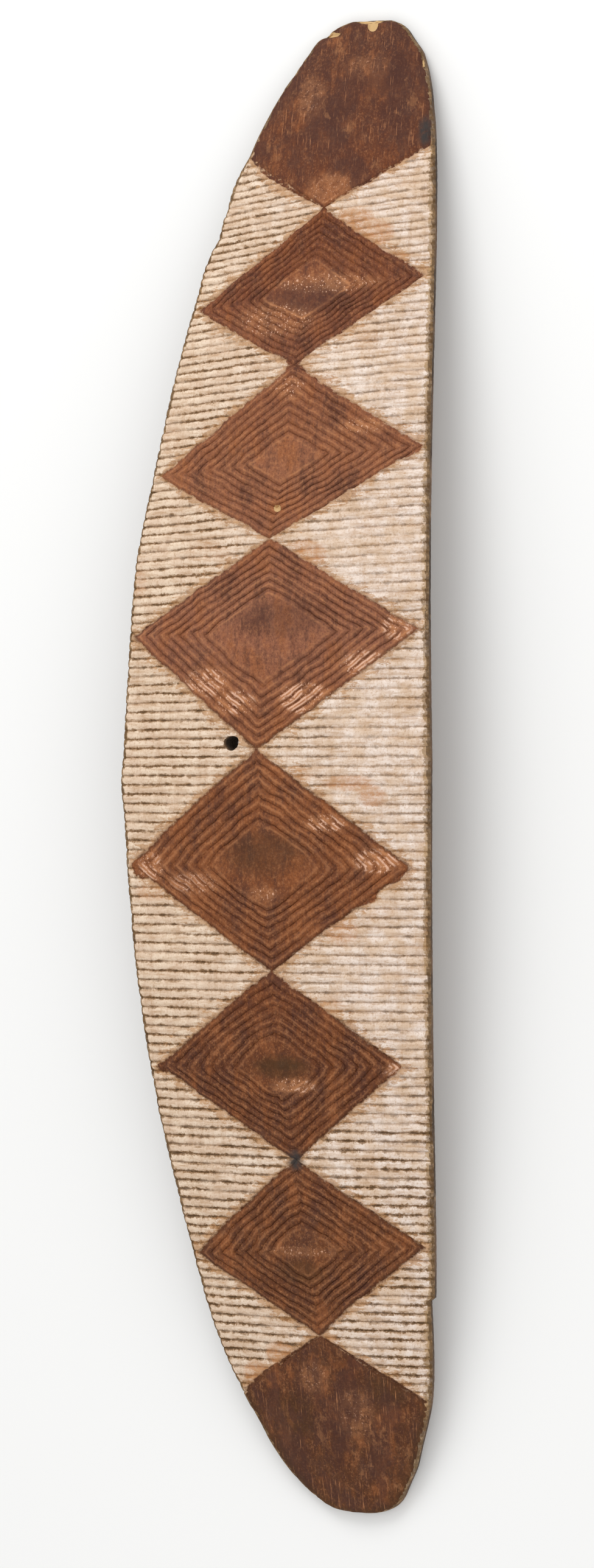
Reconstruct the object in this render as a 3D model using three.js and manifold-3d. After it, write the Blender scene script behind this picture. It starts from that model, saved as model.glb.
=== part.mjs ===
// A long wooden shield carved in one piece: a bowed and domed board with a thin rim, a chain of six grooved
// diamonds down its front, and a grip that stands out of its hollow back. It lies face up on its two tips
// and on the flat of the grip.
//
// Millimetres, +Z up. +Y runs along the shield towards its head, +X towards its straighter edge. The origin
// is on the ground under the middle of the shield.

import * as THREE from "three";
import { mergeVertices } from "three/addons/utils/BufferGeometryUtils.js";
import Module from "manifold-3d";

const wasm = await Module();
wasm.setup();

// ---------------------------------------------------------------------------------- driving sizes

const LENGTH = 900;
const WIDTH = 195;
const HALF = LENGTH / 2;

const HEAD_POWER = 1.46; // how full the outline stays towards the head, and towards the foot
const FOOT_POWER = 1.72;
const TIP_POWER = 2.75; // how blunt both tips are
const HEAD_LEAN = 44; // how far the tips lie to the right of the middle
const FOOT_LEAN = 37;

const BOW = 50; // how high the rim of the middle stands above the ground
const REST_CUT = 2; // depth of the flat that the tips rest on
const RIM = 7; // thickness at the rim
const DOME = 13; // rise of the front from rim to middle line
const HOLLOW = 5; // rise of the back from rim to middle line
const EDGE_CUT = 1.8; // bevel along the rim

const HEAD_TILT = 0.25; // how fast the carving's lean grows towards the head, and its lean near the foot
const FOOT_TILT = 0.05;

const GROOVE_DEPTH = 1.1;
const GROOVE_HALF_WIDTH = 1.4;

// Where neighbouring diamonds meet, from head to foot: how far along, and how far across as a share of the
// half width.
const JUNCTIONS = [
  [334, 0],
  [240, -0.025],
  [136, -0.045],
  [10, -0.07],
  [-122, -0.02],
  [-235, 0.025],
  [-341, 0],
];
// Each diamond's widest line, how far it reaches left and right, its grooves, and its plain middle's share.
const DIAMONDS = [
  { at: 283, left: 0.945, right: 0.93, grooves: 6, core: 0.46 },
  { at: 182, left: 0.94, right: 0.955, grooves: 7, core: 0.33 },
  { at: 79, left: 0.965, right: 0.94, grooves: 6, core: 0.48 },
  { at: -60, left: 0.955, right: 0.89, grooves: 6, core: 0.45 },
  { at: -179, left: 0.91, right: 0.82, grooves: 6, core: 0.4 },
  { at: -290, left: 0.945, right: 0.93, grooves: 6, core: 0.36 },
];
const HEAD_PANEL = 367; // where the plain head and the plain foot reach the rim
const FOOT_PANEL = -379;

// Low waves of both rims: where each is, how far it reaches, and how far it swells or sinks.
const LEFT_WAVES = [
  { at: 439, reach: 11, rise: 2.5 },
  { at: -11, reach: 24, rise: 1.8 },
  { at: 352, reach: 18, rise: 1.8 },
  { at: 320, reach: 11, rise: -1.4 },
  { at: 299, reach: 14, rise: 1.2 },
  { at: 120, reach: 65, rise: 2.6 },
  { at: -250, reach: 50, rise: -1 },
  { at: -345, reach: 60, rise: 2 },
];
const RIGHT_WAVES = [
  { at: 438, reach: 12, rise: -1.8 },
  { at: -412, reach: 36, rise: -2.6 },
  { at: -433, reach: 16, rise: -1.8 },
];
const CHIP = { from: -317, to: -366, depth: 2.6 }; // a splinter lost from the right rim
const HOLE = { x: -23.5, y: 13.8, radius: 4.5, slant: 0.24, sides: 24 }; // it leans to the right going down

// The grip: half lengths of its feet, its flat underside and its gap, and how much its feet widen.
const GRIP = { width: 27, halfLength: 112, flat: 50, thickness: 19, gap: 46, flare: 9, round: 4 };

const ROWS = 7; // rows in each half of a diamond, in a wedge and in a tip, and columns over head and back
const WEDGE_ROWS = 3;
const TIP_ROWS = 8;
const PLAIN_COLUMNS = 8;
const BACK_COLUMNS = 6;

// ---------------------------------------------------------------------------------- the board's shape

const lerp = THREE.MathUtils.lerp;
const smooth = (from, to, x) => THREE.MathUtils.smoothstep(x, from, to);

function halfWidth(y) {
  const along = Math.min(1, Math.abs(y) / HALF);
  const power = y > 0 ? HEAD_POWER : FOOT_POWER;
  return (WIDTH / 2) * (1 - along ** power) ** (1 / TIP_POWER);
}

function midline(y) {
  return (y > 0 ? HEAD_LEAN : FOOT_LEAN) * (y / HALF) ** 2;
}

function riseAt(y, waves) {
  let total = 0;
  for (const { at, reach, rise } of waves) {
    const near = Math.min(1, Math.abs(y - at) / reach);
    total += rise * Math.cos((near * Math.PI) / 2) ** 2;
  }
  return total;
}

function leftRim(y) {
  return midline(y) - halfWidth(y) - riseAt(y, LEFT_WAVES);
}

function rightRim(y) {
  return midline(y) + halfWidth(y) + riseAt(y, RIGHT_WAVES);
}

// Height of the rim's underside: an arc from tip to tip, cut flat where it meets the ground.
function rimBase(y) {
  return Math.max(0, (BOW + REST_CUT) * (1 - (y / HALF) ** 2) - REST_CUT);
}

// How far a place has risen above the rim: 0 at either rim, nearly 1 on the midline of the widest part.
function swell(x, y) {
  const width = halfWidth(y);
  const across = width > 0 ? Math.min(1, Math.abs(x - midline(y)) / width) : 1;
  return (width / (WIDTH / 2)) * (1 - across ** 2);
}

function frontHeight(x, y) {
  return rimBase(y) + RIM + DOME * swell(x, y);
}

function backHeight(x, y) {
  return rimBase(y) + HOLLOW * swell(x, y);
}

// Slope of the carving's rows at a place along the shield.
function tilt(y) {
  const along = y / HALF;
  const head = HEAD_TILT * Math.max(0, along) * (1 - smooth(0.76, 0.95, along));
  const foot = FOOT_TILT * Math.exp(-(((along + 0.64) / 0.1) ** 2));
  return head + foot;
}

// Where the tilted row through (midline, row) meets one rim.
function rowEnd(row, rim) {
  let y = row;
  for (let turn = 0; turn < 12; turn++) {
    y = row + tilt(row) * (rim(y) - midline(row));
  }
  return { x: rim(y), y };
}

// A point of a row in plan: across is -1 at the left rim, 0 on the midline and 1 at the right rim.
function onRow(row, across) {
  const end = rowEnd(row, across < 0 ? leftRim : rightRim);
  const share = Math.abs(across);
  return { x: lerp(midline(row), end.x, share), y: lerp(row, end.y, share) };
}

// How far across the bevel of the rim begins.
function bevelStart(row) {
  const width = halfWidth(row);
  return width > 0 ? 1 - Math.min(EDGE_CUT, width / 2) / width : 1;
}

function frontPoint(row, across, sunk = 0) {
  const { x, y } = onRow(row, across);
  return new THREE.Vector3(x, y, frontHeight(x, y) - sunk);
}

// ---------------------------------------------------------------------------------- patches of surface

// Collects the triangles of grid-shaped patches, which meet their neighbours at equal points.
class Skin {
  positions = [];

  triangle(a, b, c) {
    for (const point of [a, b, c]) {
      this.positions.push(point.x, point.y, point.z);
    }
  }

  // Lines follow one another down the shield, each running from left to right as seen from outside.
  grid(lines) {
    for (let i = 1; i < lines.length; i++) {
      const before = lines[i - 1];
      const after = lines[i];
      for (let k = 1; k < before.length; k++) {
        this.triangle(before[k - 1], after[k], before[k]);
        this.triangle(before[k - 1], after[k - 1], after[k]);
      }
    }
  }

  solid() {
    const geometry = new THREE.BufferGeometry();
    geometry.setAttribute("position", new THREE.Float32BufferAttribute(this.positions, 3));
    return solidOf(geometry);
  }
}

// A closed geometry as a manifold solid, with points closer than a thousandth merged.
function solidOf(geometry) {
  const loose = geometry.index ? geometry.toNonIndexed() : geometry;
  const bare = new THREE.BufferGeometry().setAttribute("position", loose.getAttribute("position"));
  const merged = mergeVertices(bare, 1e-3);
  const corners = [];
  for (let i = 0; i < merged.index.count; i += 3) {
    const [a, b, c] = merged.index.array.slice(i, i + 3);
    const hasArea = a !== b && b !== c && c !== a;
    if (hasArea) {
      corners.push(a, b, c);
    }
  }
  return new wasm.Manifold(
    new wasm.Mesh({
      numProp: 3,
      vertProperties: merged.attributes.position.array,
      triVerts: new Uint32Array(corners),
    }),
  );
}

function geometryOf(solid) {
  const mesh = solid.getMesh();
  const geometry = new THREE.BufferGeometry();
  geometry.setAttribute("position", new THREE.BufferAttribute(mesh.vertProperties, 3));
  geometry.setIndex(new THREE.BufferAttribute(mesh.triVerts, 1));
  geometry.computeVertexNormals();
  return geometry;
}

function steps(count, make) {
  return Array.from({ length: count + 1 }, (_, i) => make(i / count));
}

// ---------------------------------------------------------------------------------- front

// How far across a panel's side lies on a row between two of its corners.
function sideOf(row, from, to) {
  const share = (row - from[0]) / (to[0] - from[0]);
  return lerp(from[1], to[1], share);
}

// The strip of front from the rim to a panel's side, on one row. It drops into the panel's border groove.
function marginLine(row, side, end) {
  const rim = side * bevelStart(row);
  const width = Math.abs(end - rim) * halfWidth(row);
  const lip = width > 0 ? Math.min(0.5, GROOVE_HALF_WIDTH / width) : 0.5;
  const shares = [0, 0.5, 1 - lip, 1];
  const line = shares.map((share, i) =>
    frontPoint(row, lerp(rim, end, share), i === shares.length - 1 ? GROOVE_DEPTH : 0),
  );
  return side < 0 ? line : line.reverse();
}

// One diamond as rings that shrink to its middle, each groove a V between two ridges.
function carveDiamond(skin, outline, middle, diamond) {
  const [middleRow, middleAcross] = middle;
  const ring = (share, sunk) =>
    outline.map(([row, across]) =>
      frontPoint(lerp(middleRow, row, share), lerp(middleAcross, across, share), sunk),
    );
  const levels = [ring(1, GROOVE_DEPTH)];
  const pitch = (1 - diamond.core) / diamond.grooves;
  for (let groove = 0; groove < diamond.grooves; groove++) {
    levels.push(ring(1 - (groove + 0.5) * pitch, 0));
    levels.push(ring(1 - (groove + 1) * pitch, GROOVE_DEPTH));
  }
  for (const share of [diamond.core - pitch / 2, diamond.core / 2, 0]) {
    levels.push(ring(share, 0));
  }
  skin.grid(levels.reverse());
}

function carveBand(skin, diamond, above, below) {
  const leftCorner = [diamond.at, -diamond.left];
  const rightCorner = [diamond.at, diamond.right];
  const rows = [
    ...steps(ROWS, (share) => lerp(above[0], diamond.at, share)),
    ...steps(ROWS, (share) => lerp(diamond.at, below[0], share)).slice(1),
  ];
  const sides = rows.map((row) => {
    const tip = row >= diamond.at ? above : below;
    return { row, left: sideOf(row, tip, leftCorner), right: sideOf(row, tip, rightCorner) };
  });
  skin.grid(sides.map(({ row, left }) => marginLine(row, -1, left)));
  skin.grid(sides.map(({ row, right }) => marginLine(row, 1, right)));
  const leftSide = sides.map(({ row, left }) => [row, left]);
  const rightSide = sides.map(({ row, right }) => [row, right]);
  const outline = [...leftSide, ...rightSide.reverse().slice(1)];
  carveDiamond(skin, outline, [diamond.at, (diamond.right - diamond.left) / 2], diamond);
  return rows;
}

// The plain head or foot: a wedge that widens from the last junction to the rim, and the tip beyond it.
function carveTip(skin, junction, panelRow) {
  const tip = Math.sign(junction[0]) * HALF;
  const wedgeRows = steps(WEDGE_ROWS, (share) => lerp(junction[0], panelRow, share));
  const tipRows = steps(TIP_ROWS, (share) => lerp(panelRow, tip, Math.sin((share * Math.PI) / 2)));
  const span = (row) => {
    const share = Math.min(1, (row - junction[0]) / (panelRow - junction[0]));
    const rim = bevelStart(row);
    return [lerp(junction[1], -rim, share), lerp(junction[1], rim, share)];
  };
  const facing = (lines) => (tip > 0 ? lines.slice().reverse() : lines);
  const sunkAt = (row, share) => {
    const onBorder = row === junction[0] || share === 0 || share === 1;
    return onBorder && Math.abs(row) < Math.abs(panelRow) ? GROOVE_DEPTH : 0;
  };
  const plainLine = (row) => {
    const [left, right] = span(row);
    return steps(PLAIN_COLUMNS, (share) => frontPoint(row, lerp(left, right, share), sunkAt(row, share)));
  };
  skin.grid(facing([...wedgeRows, ...tipRows.slice(1)]).map(plainLine));
  skin.grid(facing(wedgeRows).map((row) => wedgeMargin(row, -1, span(row)[0], panelRow)));
  skin.grid(facing(wedgeRows).map((row) => wedgeMargin(row, 1, span(row)[1], panelRow)));
  return { wedgeRows, tipRows };
}

// The margin beside the wedge, which closes to nothing where the wedge reaches the rim.
function wedgeMargin(row, side, end, panelRow) {
  const line = marginLine(row, side, end);
  const rim = frontPoint(row, side * bevelStart(row));
  return row === panelRow ? line.map(() => rim) : line;
}

// ---------------------------------------------------------------------------------- rim and back

// From the left edge of the front, round under the back, to the right edge of the front.
function underLine(row) {
  const start = bevelStart(row);
  const bevel = Math.min(EDGE_CUT, RIM / 3);
  const edge = (side, height) => {
    const { x, y } = onRow(row, side);
    return new THREE.Vector3(x, y, rimBase(y) + height);
  };
  const back = steps(BACK_COLUMNS, (share) => {
    const { x, y } = onRow(row, lerp(-start, start, share));
    return new THREE.Vector3(x, y, backHeight(x, y));
  });
  return [
    frontPoint(row, -start),
    edge(-1, RIM - bevel),
    edge(-1, bevel),
    ...back,
    edge(1, bevel),
    edge(1, RIM - bevel),
    frontPoint(row, start),
  ];
}

function carveBoard() {
  const skin = new Skin();
  const head = carveTip(skin, JUNCTIONS[0], HEAD_PANEL);
  const foot = carveTip(skin, JUNCTIONS.at(-1), FOOT_PANEL);
  const bands = DIAMONDS.map((diamond, i) => {
    return carveBand(skin, diamond, JUNCTIONS[i], JUNCTIONS[i + 1]);
  });
  const rows = [
    ...head.tipRows.slice().reverse(),
    ...head.wedgeRows.slice(0, -1).reverse(),
    ...bands.flatMap((band) => band.slice(1)),
    ...foot.wedgeRows.slice(1),
    ...foot.tipRows.slice(1),
  ];
  skin.grid(rows.map(underLine).map((line) => line.reverse()));
  return skin.solid();
}

// ---------------------------------------------------------------------------------- grip

// Seen from the side: a low bridge whose two feet run out into the board, over a gap for four fingers.
function carveGrip() {
  const inBoard = BOW + HOLLOW + 3;
  const corner = 12;
  const side = new THREE.Shape();
  side.moveTo(-GRIP.halfLength, inBoard);
  side.bezierCurveTo(-GRIP.halfLength + 8, BOW - 14, -GRIP.flat - 18, 0, -GRIP.flat, 0);
  side.lineTo(GRIP.flat, 0);
  side.bezierCurveTo(GRIP.flat + 18, 0, GRIP.halfLength - 8, BOW - 14, GRIP.halfLength, inBoard);
  side.lineTo(GRIP.gap, inBoard);
  side.lineTo(GRIP.gap, GRIP.thickness + corner);
  side.quadraticCurveTo(GRIP.gap, GRIP.thickness, GRIP.gap - corner, GRIP.thickness);
  side.lineTo(-GRIP.gap + corner, GRIP.thickness);
  side.quadraticCurveTo(-GRIP.gap, GRIP.thickness, -GRIP.gap, GRIP.thickness + corner);
  side.lineTo(-GRIP.gap, inBoard);
  side.closePath();

  const bar = new THREE.ExtrudeGeometry(side, {
    depth: GRIP.width - 2 * GRIP.round,
    bevelEnabled: true,
    bevelSize: GRIP.round,
    bevelThickness: GRIP.round,
    bevelOffset: -GRIP.round,
    bevelSegments: 2,
    curveSegments: 6,
  });
  // The extrusion runs along its own Z, so turn that across the shield, and widen the feet.
  bar.translate(0, 0, GRIP.round - GRIP.width / 2);
  bar.applyMatrix4(new THREE.Matrix4().makeBasis(
    new THREE.Vector3(0, 1, 0),
    new THREE.Vector3(0, 0, 1),
    new THREE.Vector3(1, 0, 0),
  ));
  const points = bar.getAttribute("position");
  for (let i = 0; i < points.count; i++) {
    const out = smooth(GRIP.gap, GRIP.halfLength, Math.abs(points.getY(i)));
    points.setX(i, points.getX(i) * (1 + (2 * GRIP.flare * out) / GRIP.width));
  }
  return solidOf(bar);
}

// ---------------------------------------------------------------------------------- the shield

// The scar left by the splinter: a sliver off the rim, deepest at its upper end.
function splinter() {
  const outer = Math.max(rightRim(CHIP.from), rightRim(CHIP.to)) + 10;
  const outline = new THREE.Shape([
    new THREE.Vector2(outer, CHIP.from),
    new THREE.Vector2(rightRim(CHIP.from) - CHIP.depth, CHIP.from),
    new THREE.Vector2(rightRim(CHIP.to), CHIP.to),
    new THREE.Vector2(outer, CHIP.to),
  ]);
  return solidOf(new THREE.ExtrudeGeometry(outline, { depth: 2 * BOW, bevelEnabled: false }));
}

function boreHole() {
  const bore = new THREE.CylinderGeometry(HOLE.radius, HOLE.radius, 2 * BOW + 60, HOLE.sides);
  bore.rotateX(Math.PI / 2);
  bore.translate(HOLE.x, HOLE.y, BOW);
  const top = frontHeight(HOLE.x, HOLE.y);
  const points = bore.getAttribute("position");
  for (let i = 0; i < points.count; i++) {
    points.setX(i, points.getX(i) + HOLE.slant * (top - points.getZ(i)));
  }
  return solidOf(bore);
}

const paintedWood = new THREE.MeshStandardMaterial({ color: 0x7a4a34, roughness: 0.8, metalness: 0 });

const carved = carveBoard().add(carveGrip()).subtract(boreHole()).subtract(splinter());
const shield = new THREE.Mesh(geometryOf(carved), paintedWood);
shield.name = "shield";

const model = new THREE.Group();
model.add(shield);

// Centre the outline over the origin.
const box = new THREE.Box3().setFromObject(model);
const centre = box.getCenter(new THREE.Vector3());
shield.position.set(-centre.x, -centre.y, -box.min.z);

export default model;
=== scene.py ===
# %% [markdown]
# # A carved wooden shield
#
# This lesson makes the looks of a long wooden shield: a bowed board, cut all over with fine flutes, with a
# chain of six grooved diamonds down its front. White clay is rubbed over the flutes and red-brown ochre over
# the diamonds and both ends. The grip is carved from the same piece of wood, at the back.
#
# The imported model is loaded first. It is the frame that everything here has to fit.

import math

import bmesh
import bpy
import numpy as np
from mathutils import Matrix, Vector, kdtree


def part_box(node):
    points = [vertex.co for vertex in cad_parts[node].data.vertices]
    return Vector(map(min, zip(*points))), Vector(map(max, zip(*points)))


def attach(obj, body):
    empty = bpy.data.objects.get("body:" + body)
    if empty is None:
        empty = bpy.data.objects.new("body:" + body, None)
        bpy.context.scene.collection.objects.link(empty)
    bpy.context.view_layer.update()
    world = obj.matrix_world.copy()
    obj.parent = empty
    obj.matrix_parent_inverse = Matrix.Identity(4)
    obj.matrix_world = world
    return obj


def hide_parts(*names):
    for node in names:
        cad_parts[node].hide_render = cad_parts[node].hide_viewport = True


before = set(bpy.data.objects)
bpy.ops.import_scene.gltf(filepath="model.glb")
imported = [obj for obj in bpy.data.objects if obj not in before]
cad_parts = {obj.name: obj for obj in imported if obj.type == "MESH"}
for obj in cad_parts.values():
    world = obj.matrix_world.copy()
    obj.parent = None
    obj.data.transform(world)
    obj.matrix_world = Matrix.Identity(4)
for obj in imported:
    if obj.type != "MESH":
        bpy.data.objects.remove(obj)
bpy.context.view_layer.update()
low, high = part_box("shield")
print("frame", [round(v, 4) for v in (*low, *high)])

# %% [markdown]
# ## The floor, the light and the camera
#
# The shield lies face up on a pale floor. One large lamp stands to its left and towards its head, so that the
# right side of every groove and the right edge fall into soft shade. A weak, wide lamp on the other side
# keeps that shade open. The camera looks down from 20 degrees right of straight above, with a long lens, so
# the strip of bare wood down the right edge shows.

# %% Floor
FLOOR_SIZE = 40.0
FLOOR_COLOUR = (0.92, 0.92, 0.91, 1)
FLOOR_ROUGHNESS = 0.9

scene = bpy.context.scene
scene.view_settings.view_transform = "Standard"

floor_mesh = bpy.data.meshes.new("Floor")
half_floor = FLOOR_SIZE / 2
floor_corners = [(-1, -1), (1, -1), (1, 1), (-1, 1)]
floor_mesh.from_pydata([(x * half_floor, y * half_floor, 0) for x, y in floor_corners], [], [(0, 1, 2, 3)])
floor_paint = bpy.data.materials.new("Pale Floor")
floor_paint.use_nodes = True
floor_shader = floor_paint.node_tree.nodes["Principled BSDF"]
floor_shader.inputs["Base Color"].default_value = FLOOR_COLOUR
floor_shader.inputs["Roughness"].default_value = FLOOR_ROUGHNESS
floor_mesh.materials.append(floor_paint)
floor = bpy.data.objects.new("Floor", floor_mesh)
scene.collection.objects.link(floor)
print("floor", FLOOR_SIZE, "m")

# %% [markdown]
# Outdoors or in a hall, the sky or the ceiling lights an object from everywhere. A plain white world does
# that here, and two disk lamps add the direction. Large lamps give soft shadows, which suit a shallow relief.

# %% Lamps
WORLD_COLOUR = (1.0, 1.0, 1.0, 1.0)
WORLD_STRENGTH = 0.80
# Name, place in metres, width in metres, power in watts.
LAMPS = [("Key Lamp", (-0.5, 2.0, 1.7), 1.6, 27), ("Fill Lamp", (1.6, -0.6, 2.2), 2.4, 6)]


def add_lamp(name, place, size, power):
    lamp = bpy.data.lights.new(name, "AREA")
    lamp.shape = "DISK"
    lamp.size = size
    lamp.energy = power
    holder = bpy.data.objects.new(name, lamp)
    holder.location = place
    holder.rotation_mode = "QUATERNION"
    holder.rotation_quaternion = (-Vector(place)).to_track_quat("-Z", "Y")
    scene.collection.objects.link(holder)


world = bpy.data.worlds.new("Studio")
world.use_nodes = True
background = world.node_tree.nodes["Background"]
background.inputs["Color"].default_value = WORLD_COLOUR
background.inputs["Strength"].default_value = WORLD_STRENGTH
scene.world = world

for lamp_row in LAMPS:
    add_lamp(*lamp_row)

# %% [markdown]
# A long lens far away keeps the two ends of a long thing in proportion. The camera is turned about the
# shield's own length, so head and foot stay level in the view.

# %% Camera
VIEW_TILT = math.radians(20)
VIEW_DISTANCE = 3.0
LENS = 114.8
SENSOR_WIDTH = 36
FARTHEST_SEEN = 100
AIM_HEIGHT = 0.035
AIM_RIGHT = 0.0067
AIM_DOWN = 0.0106

right = Vector((math.cos(VIEW_TILT), 0, -math.sin(VIEW_TILT)))
back = Vector((math.sin(VIEW_TILT), 0, math.cos(VIEW_TILT)))
aim = Vector((0, 0, AIM_HEIGHT)) + right * AIM_RIGHT - Vector((0, AIM_DOWN, 0))

camera_data = bpy.data.cameras.new("Camera")
camera_data.lens = LENS
camera_data.sensor_width = SENSOR_WIDTH
camera_data.clip_end = FARTHEST_SEEN
camera = bpy.data.objects.new("Camera", camera_data)
camera.location = aim + back * VIEW_DISTANCE
camera.rotation_euler = (0, VIEW_TILT, 0)
scene.collection.objects.link(camera)
scene.camera = camera
print("camera at", [round(v, 3) for v in camera.location])

# %% [markdown]
# ## The board
#
# The maker starts from a slab of wood and takes it down to a blank: D-shaped in outline, bowed from end to
# end, domed across the front and slightly hollow behind. A blank whose shape follows a rule is best written
# as a few formulas, so that every later step can ask where the surface is. `y` runs along the shield and
# `across` runs from -1 at the left rim to 1 at the right rim.

# %% Sizes of the board
LENGTH = high.y - low.y
HALF = LENGTH / 2
WIDTH = 0.195
HEAD_POWER = 1.46
FOOT_POWER = 1.72
TIP_POWER = 2.75
HEAD_LEAN = 0.044
FOOT_LEAN = 0.037
BOW = 0.050
REST_CUT = 0.002
RIM = 0.007
DOME = 0.013
HOLLOW = 0.005
EDGE_ROUND = 0.0018
OUTLINE_SAMPLES = 4001

# Each wave in the outline: where its top is along the shield, how far it reaches, how high it is.
LEFT_WAVES = [
    (0.439, 0.011, 0.0025), (-0.011, 0.024, 0.0018), (0.352, 0.018, 0.0018), (0.32, 0.011, -0.0014),
    (0.299, 0.014, 0.0012), (0.12, 0.065, 0.0026), (-0.25, 0.05, -0.001), (-0.345, 0.06, 0.002),
]
RIGHT_WAVES = [
    (0.438, 0.012, -0.0018), (-0.412, 0.036, -0.0026), (-0.433, 0.016, -0.0018),
]

SPLINTER_TOP = -0.317
SPLINTER_END = -0.366
SPLINTER_DEPTH = 0.0026


def half_width(y):
    along = np.clip(np.abs(y) / HALF, 0, 1)
    power = np.where(y > 0, HEAD_POWER, FOOT_POWER)
    return WIDTH / 2 * (1 - along**power) ** (1 / TIP_POWER)


def midline(y):
    return np.where(y > 0, HEAD_LEAN, FOOT_LEAN) * (y / HALF) ** 2


def rise_at(y, waves):
    total = 0
    for place, reach, height in waves:
        near = np.clip(np.abs(y - place) / reach, 0, 1)
        total = total + height * np.cos(near * math.pi / 2) ** 2
    return total


def left_rim(y):
    return midline(y) - half_width(y) - rise_at(y, LEFT_WAVES)


def right_rim(y):
    broken = np.clip((y - SPLINTER_END) / (SPLINTER_TOP - SPLINTER_END), 0, 1)
    lost = np.where(y < SPLINTER_TOP, SPLINTER_DEPTH * broken, 0)
    return midline(y) + half_width(y) + rise_at(y, RIGHT_WAVES) - lost


def rim_base(y):
    return np.maximum(0, (BOW + REST_CUT) * (1 - (y / HALF) ** 2) - REST_CUT)


def swell(x, y):
    width = np.maximum(half_width(y), 1e-9)
    share = np.clip(np.abs(x - midline(y)) / width, 0, 1)
    return half_width(y) / (WIDTH / 2) * (1 - share**2)


def front_height(x, y):
    return rim_base(y) + RIM + DOME * swell(x, y)


def back_height(x, y):
    return rim_base(y) + HOLLOW * swell(x, y)


# The frame's box is centred on the outline, so the formulas' own middle lies a little beside it.
outline_y = np.linspace(-HALF, HALF, OUTLINE_SAMPLES)
SIDEWAYS = -(left_rim(outline_y).min() + right_rim(outline_y).max()) / 2
print("blank", round(LENGTH, 3), "m long; moved sideways", round(float(SIDEWAYS) * 1000, 2), "mm")

# %% [markdown]
# ## Rows of flutes
#
# The flutes run straight across the board, but they were cut by eye: they lean up to the right towards the
# head, lean down a little towards the foot, and stand closer together near both ends. A flute is counted by
# where it crosses the midline. `flute_number` turns that place into a count of flutes, and `flute_place`
# turns it back, so rows of vertices can lie exactly in each groove, at its two lips, and on the ridge
# between.

# %% Where the flutes lie
FLUTE_PITCH = 0.0056
HEAD_CROWDING = 0.21
FOOT_CROWDING = 0.05
CROWDING_REACH = 0.35
HEAD_TURN = 0.17
FOOT_TURN = 0.012
HEAD_LEVELS_OUT = (0.76, 0.95)
FOOT_LEVELS_OUT = (0.80, 0.95)
FLUTE_SAMPLES = 20001
ROW_TRIES = 16


def smooth_step(start, end, value):
    share = np.clip((value - start) / (end - start), 0, 1)
    return share * share * (3 - 2 * share)


def lean(y):
    along = y / HALF
    head = HEAD_TURN * np.maximum(along, 0) * (1 - smooth_step(*HEAD_LEVELS_OUT, along))
    foot = FOOT_TURN * np.minimum(along, 0) * (1 - smooth_step(*FOOT_LEVELS_OUT, -along))
    return head + foot


def flute_number(row):
    crowding = np.where(np.asarray(row) > 0, HEAD_CROWDING, FOOT_CROWDING)
    return (row + crowding * row**3 / (3 * CROWDING_REACH**2)) / FLUTE_PITCH


def flute_place(number):
    places = np.linspace(-HALF, HALF, FLUTE_SAMPLES)
    return np.interp(number, flute_number(places), places)


def row_end(row, rim):
    """Follows a leaning row out to the rim, a little nearer with each try."""
    y = row
    for _ in range(ROW_TRIES):
        y = row + lean(row) * (rim(y) - midline(row))
    return rim(y), y


def on_row(row, across):
    """The place in plan on a leaning row: across is -1 at the left rim and 1 at the right."""
    row, across = np.broadcast_arrays(np.asarray(row, float), np.asarray(across, float))
    left_x, left_y = row_end(row, left_rim)
    right_x, right_y = row_end(row, right_rim)
    share = np.abs(across)
    end_x = np.where(across < 0, left_x, right_x)
    end_y = np.where(across < 0, left_y, right_y)
    return midline(row) * (1 - share) + end_x * share, row * (1 - share) + end_y * share


print("flutes", round(float(flute_number(0.367) - flute_number(-0.379))))

# %% [markdown]
# ## Diamonds and plain ends
#
# The six diamonds stand tip to tip. Each is given by its four corners, by how many grooves it has, and by how
# much of its middle is left plain. A corner is a pair: the row it lies on, and how far across. The plain
# head and foot begin in a V where the chain of diamonds ends.

# %% Corners of the carving
JUNCTIONS = [
    (0.334, 0.0), (0.24, -0.025), (0.136, -0.045), (0.0098, -0.07), (-0.1222, -0.02), (-0.2351, 0.025),
    (-0.341, 0.0),
]
# Left corner, right corner, number of grooves, share of the middle left plain, rounding of the inner rings.
DIAMOND_PARTS = ("left", "right", "grooves", "core", "rounding")
DIAMOND_TABLE = [
    ((0.2825, -0.945), (0.2845, 0.93), 6, 0.46, 0.10),
    ((0.1800, -0.94), (0.1840, 0.955), 7, 0.33, 0.05),
    ((0.0805, -0.965), (0.0785, 0.94), 6, 0.48, 0.04),
    ((-0.0592, -0.955), (-0.0600, 0.89), 6, 0.45, 0.16),
    ((-0.1807, -0.91), (-0.1780, 0.82), 6, 0.40, 0.20),
    ((-0.2942, -0.945), (-0.2855, 0.93), 6, 0.36, 0.15),
]
DIAMONDS = [dict(zip(DIAMOND_PARTS, row)) for row in DIAMOND_TABLE]
HEAD_CORNERS = (0.3750, 0.3652)
FOOT_CORNERS = (-0.3790, -0.3810)

LIP = 0.14


def phase_rows(top, bottom):
    """Rows in each groove, at both its lips and on each ridge, from one place down to another."""
    first, last = math.floor(flute_number(bottom)), math.ceil(flute_number(top))
    numbers = np.add.outer(np.arange(first, last + 1), [-LIP, 0, LIP, 0.5]).ravel()
    places = flute_place(np.sort(numbers))
    return places[(places > bottom) & (places < top)][::-1]


band_rows = phase_rows(max(HEAD_CORNERS), min(FOOT_CORNERS))


def nearest_row(place):
    return int(np.argmin(np.abs(band_rows - place)))


junction_rows = [nearest_row(row) for row, _ in JUNCTIONS]
print("rows over the flutes", len(band_rows))

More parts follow.
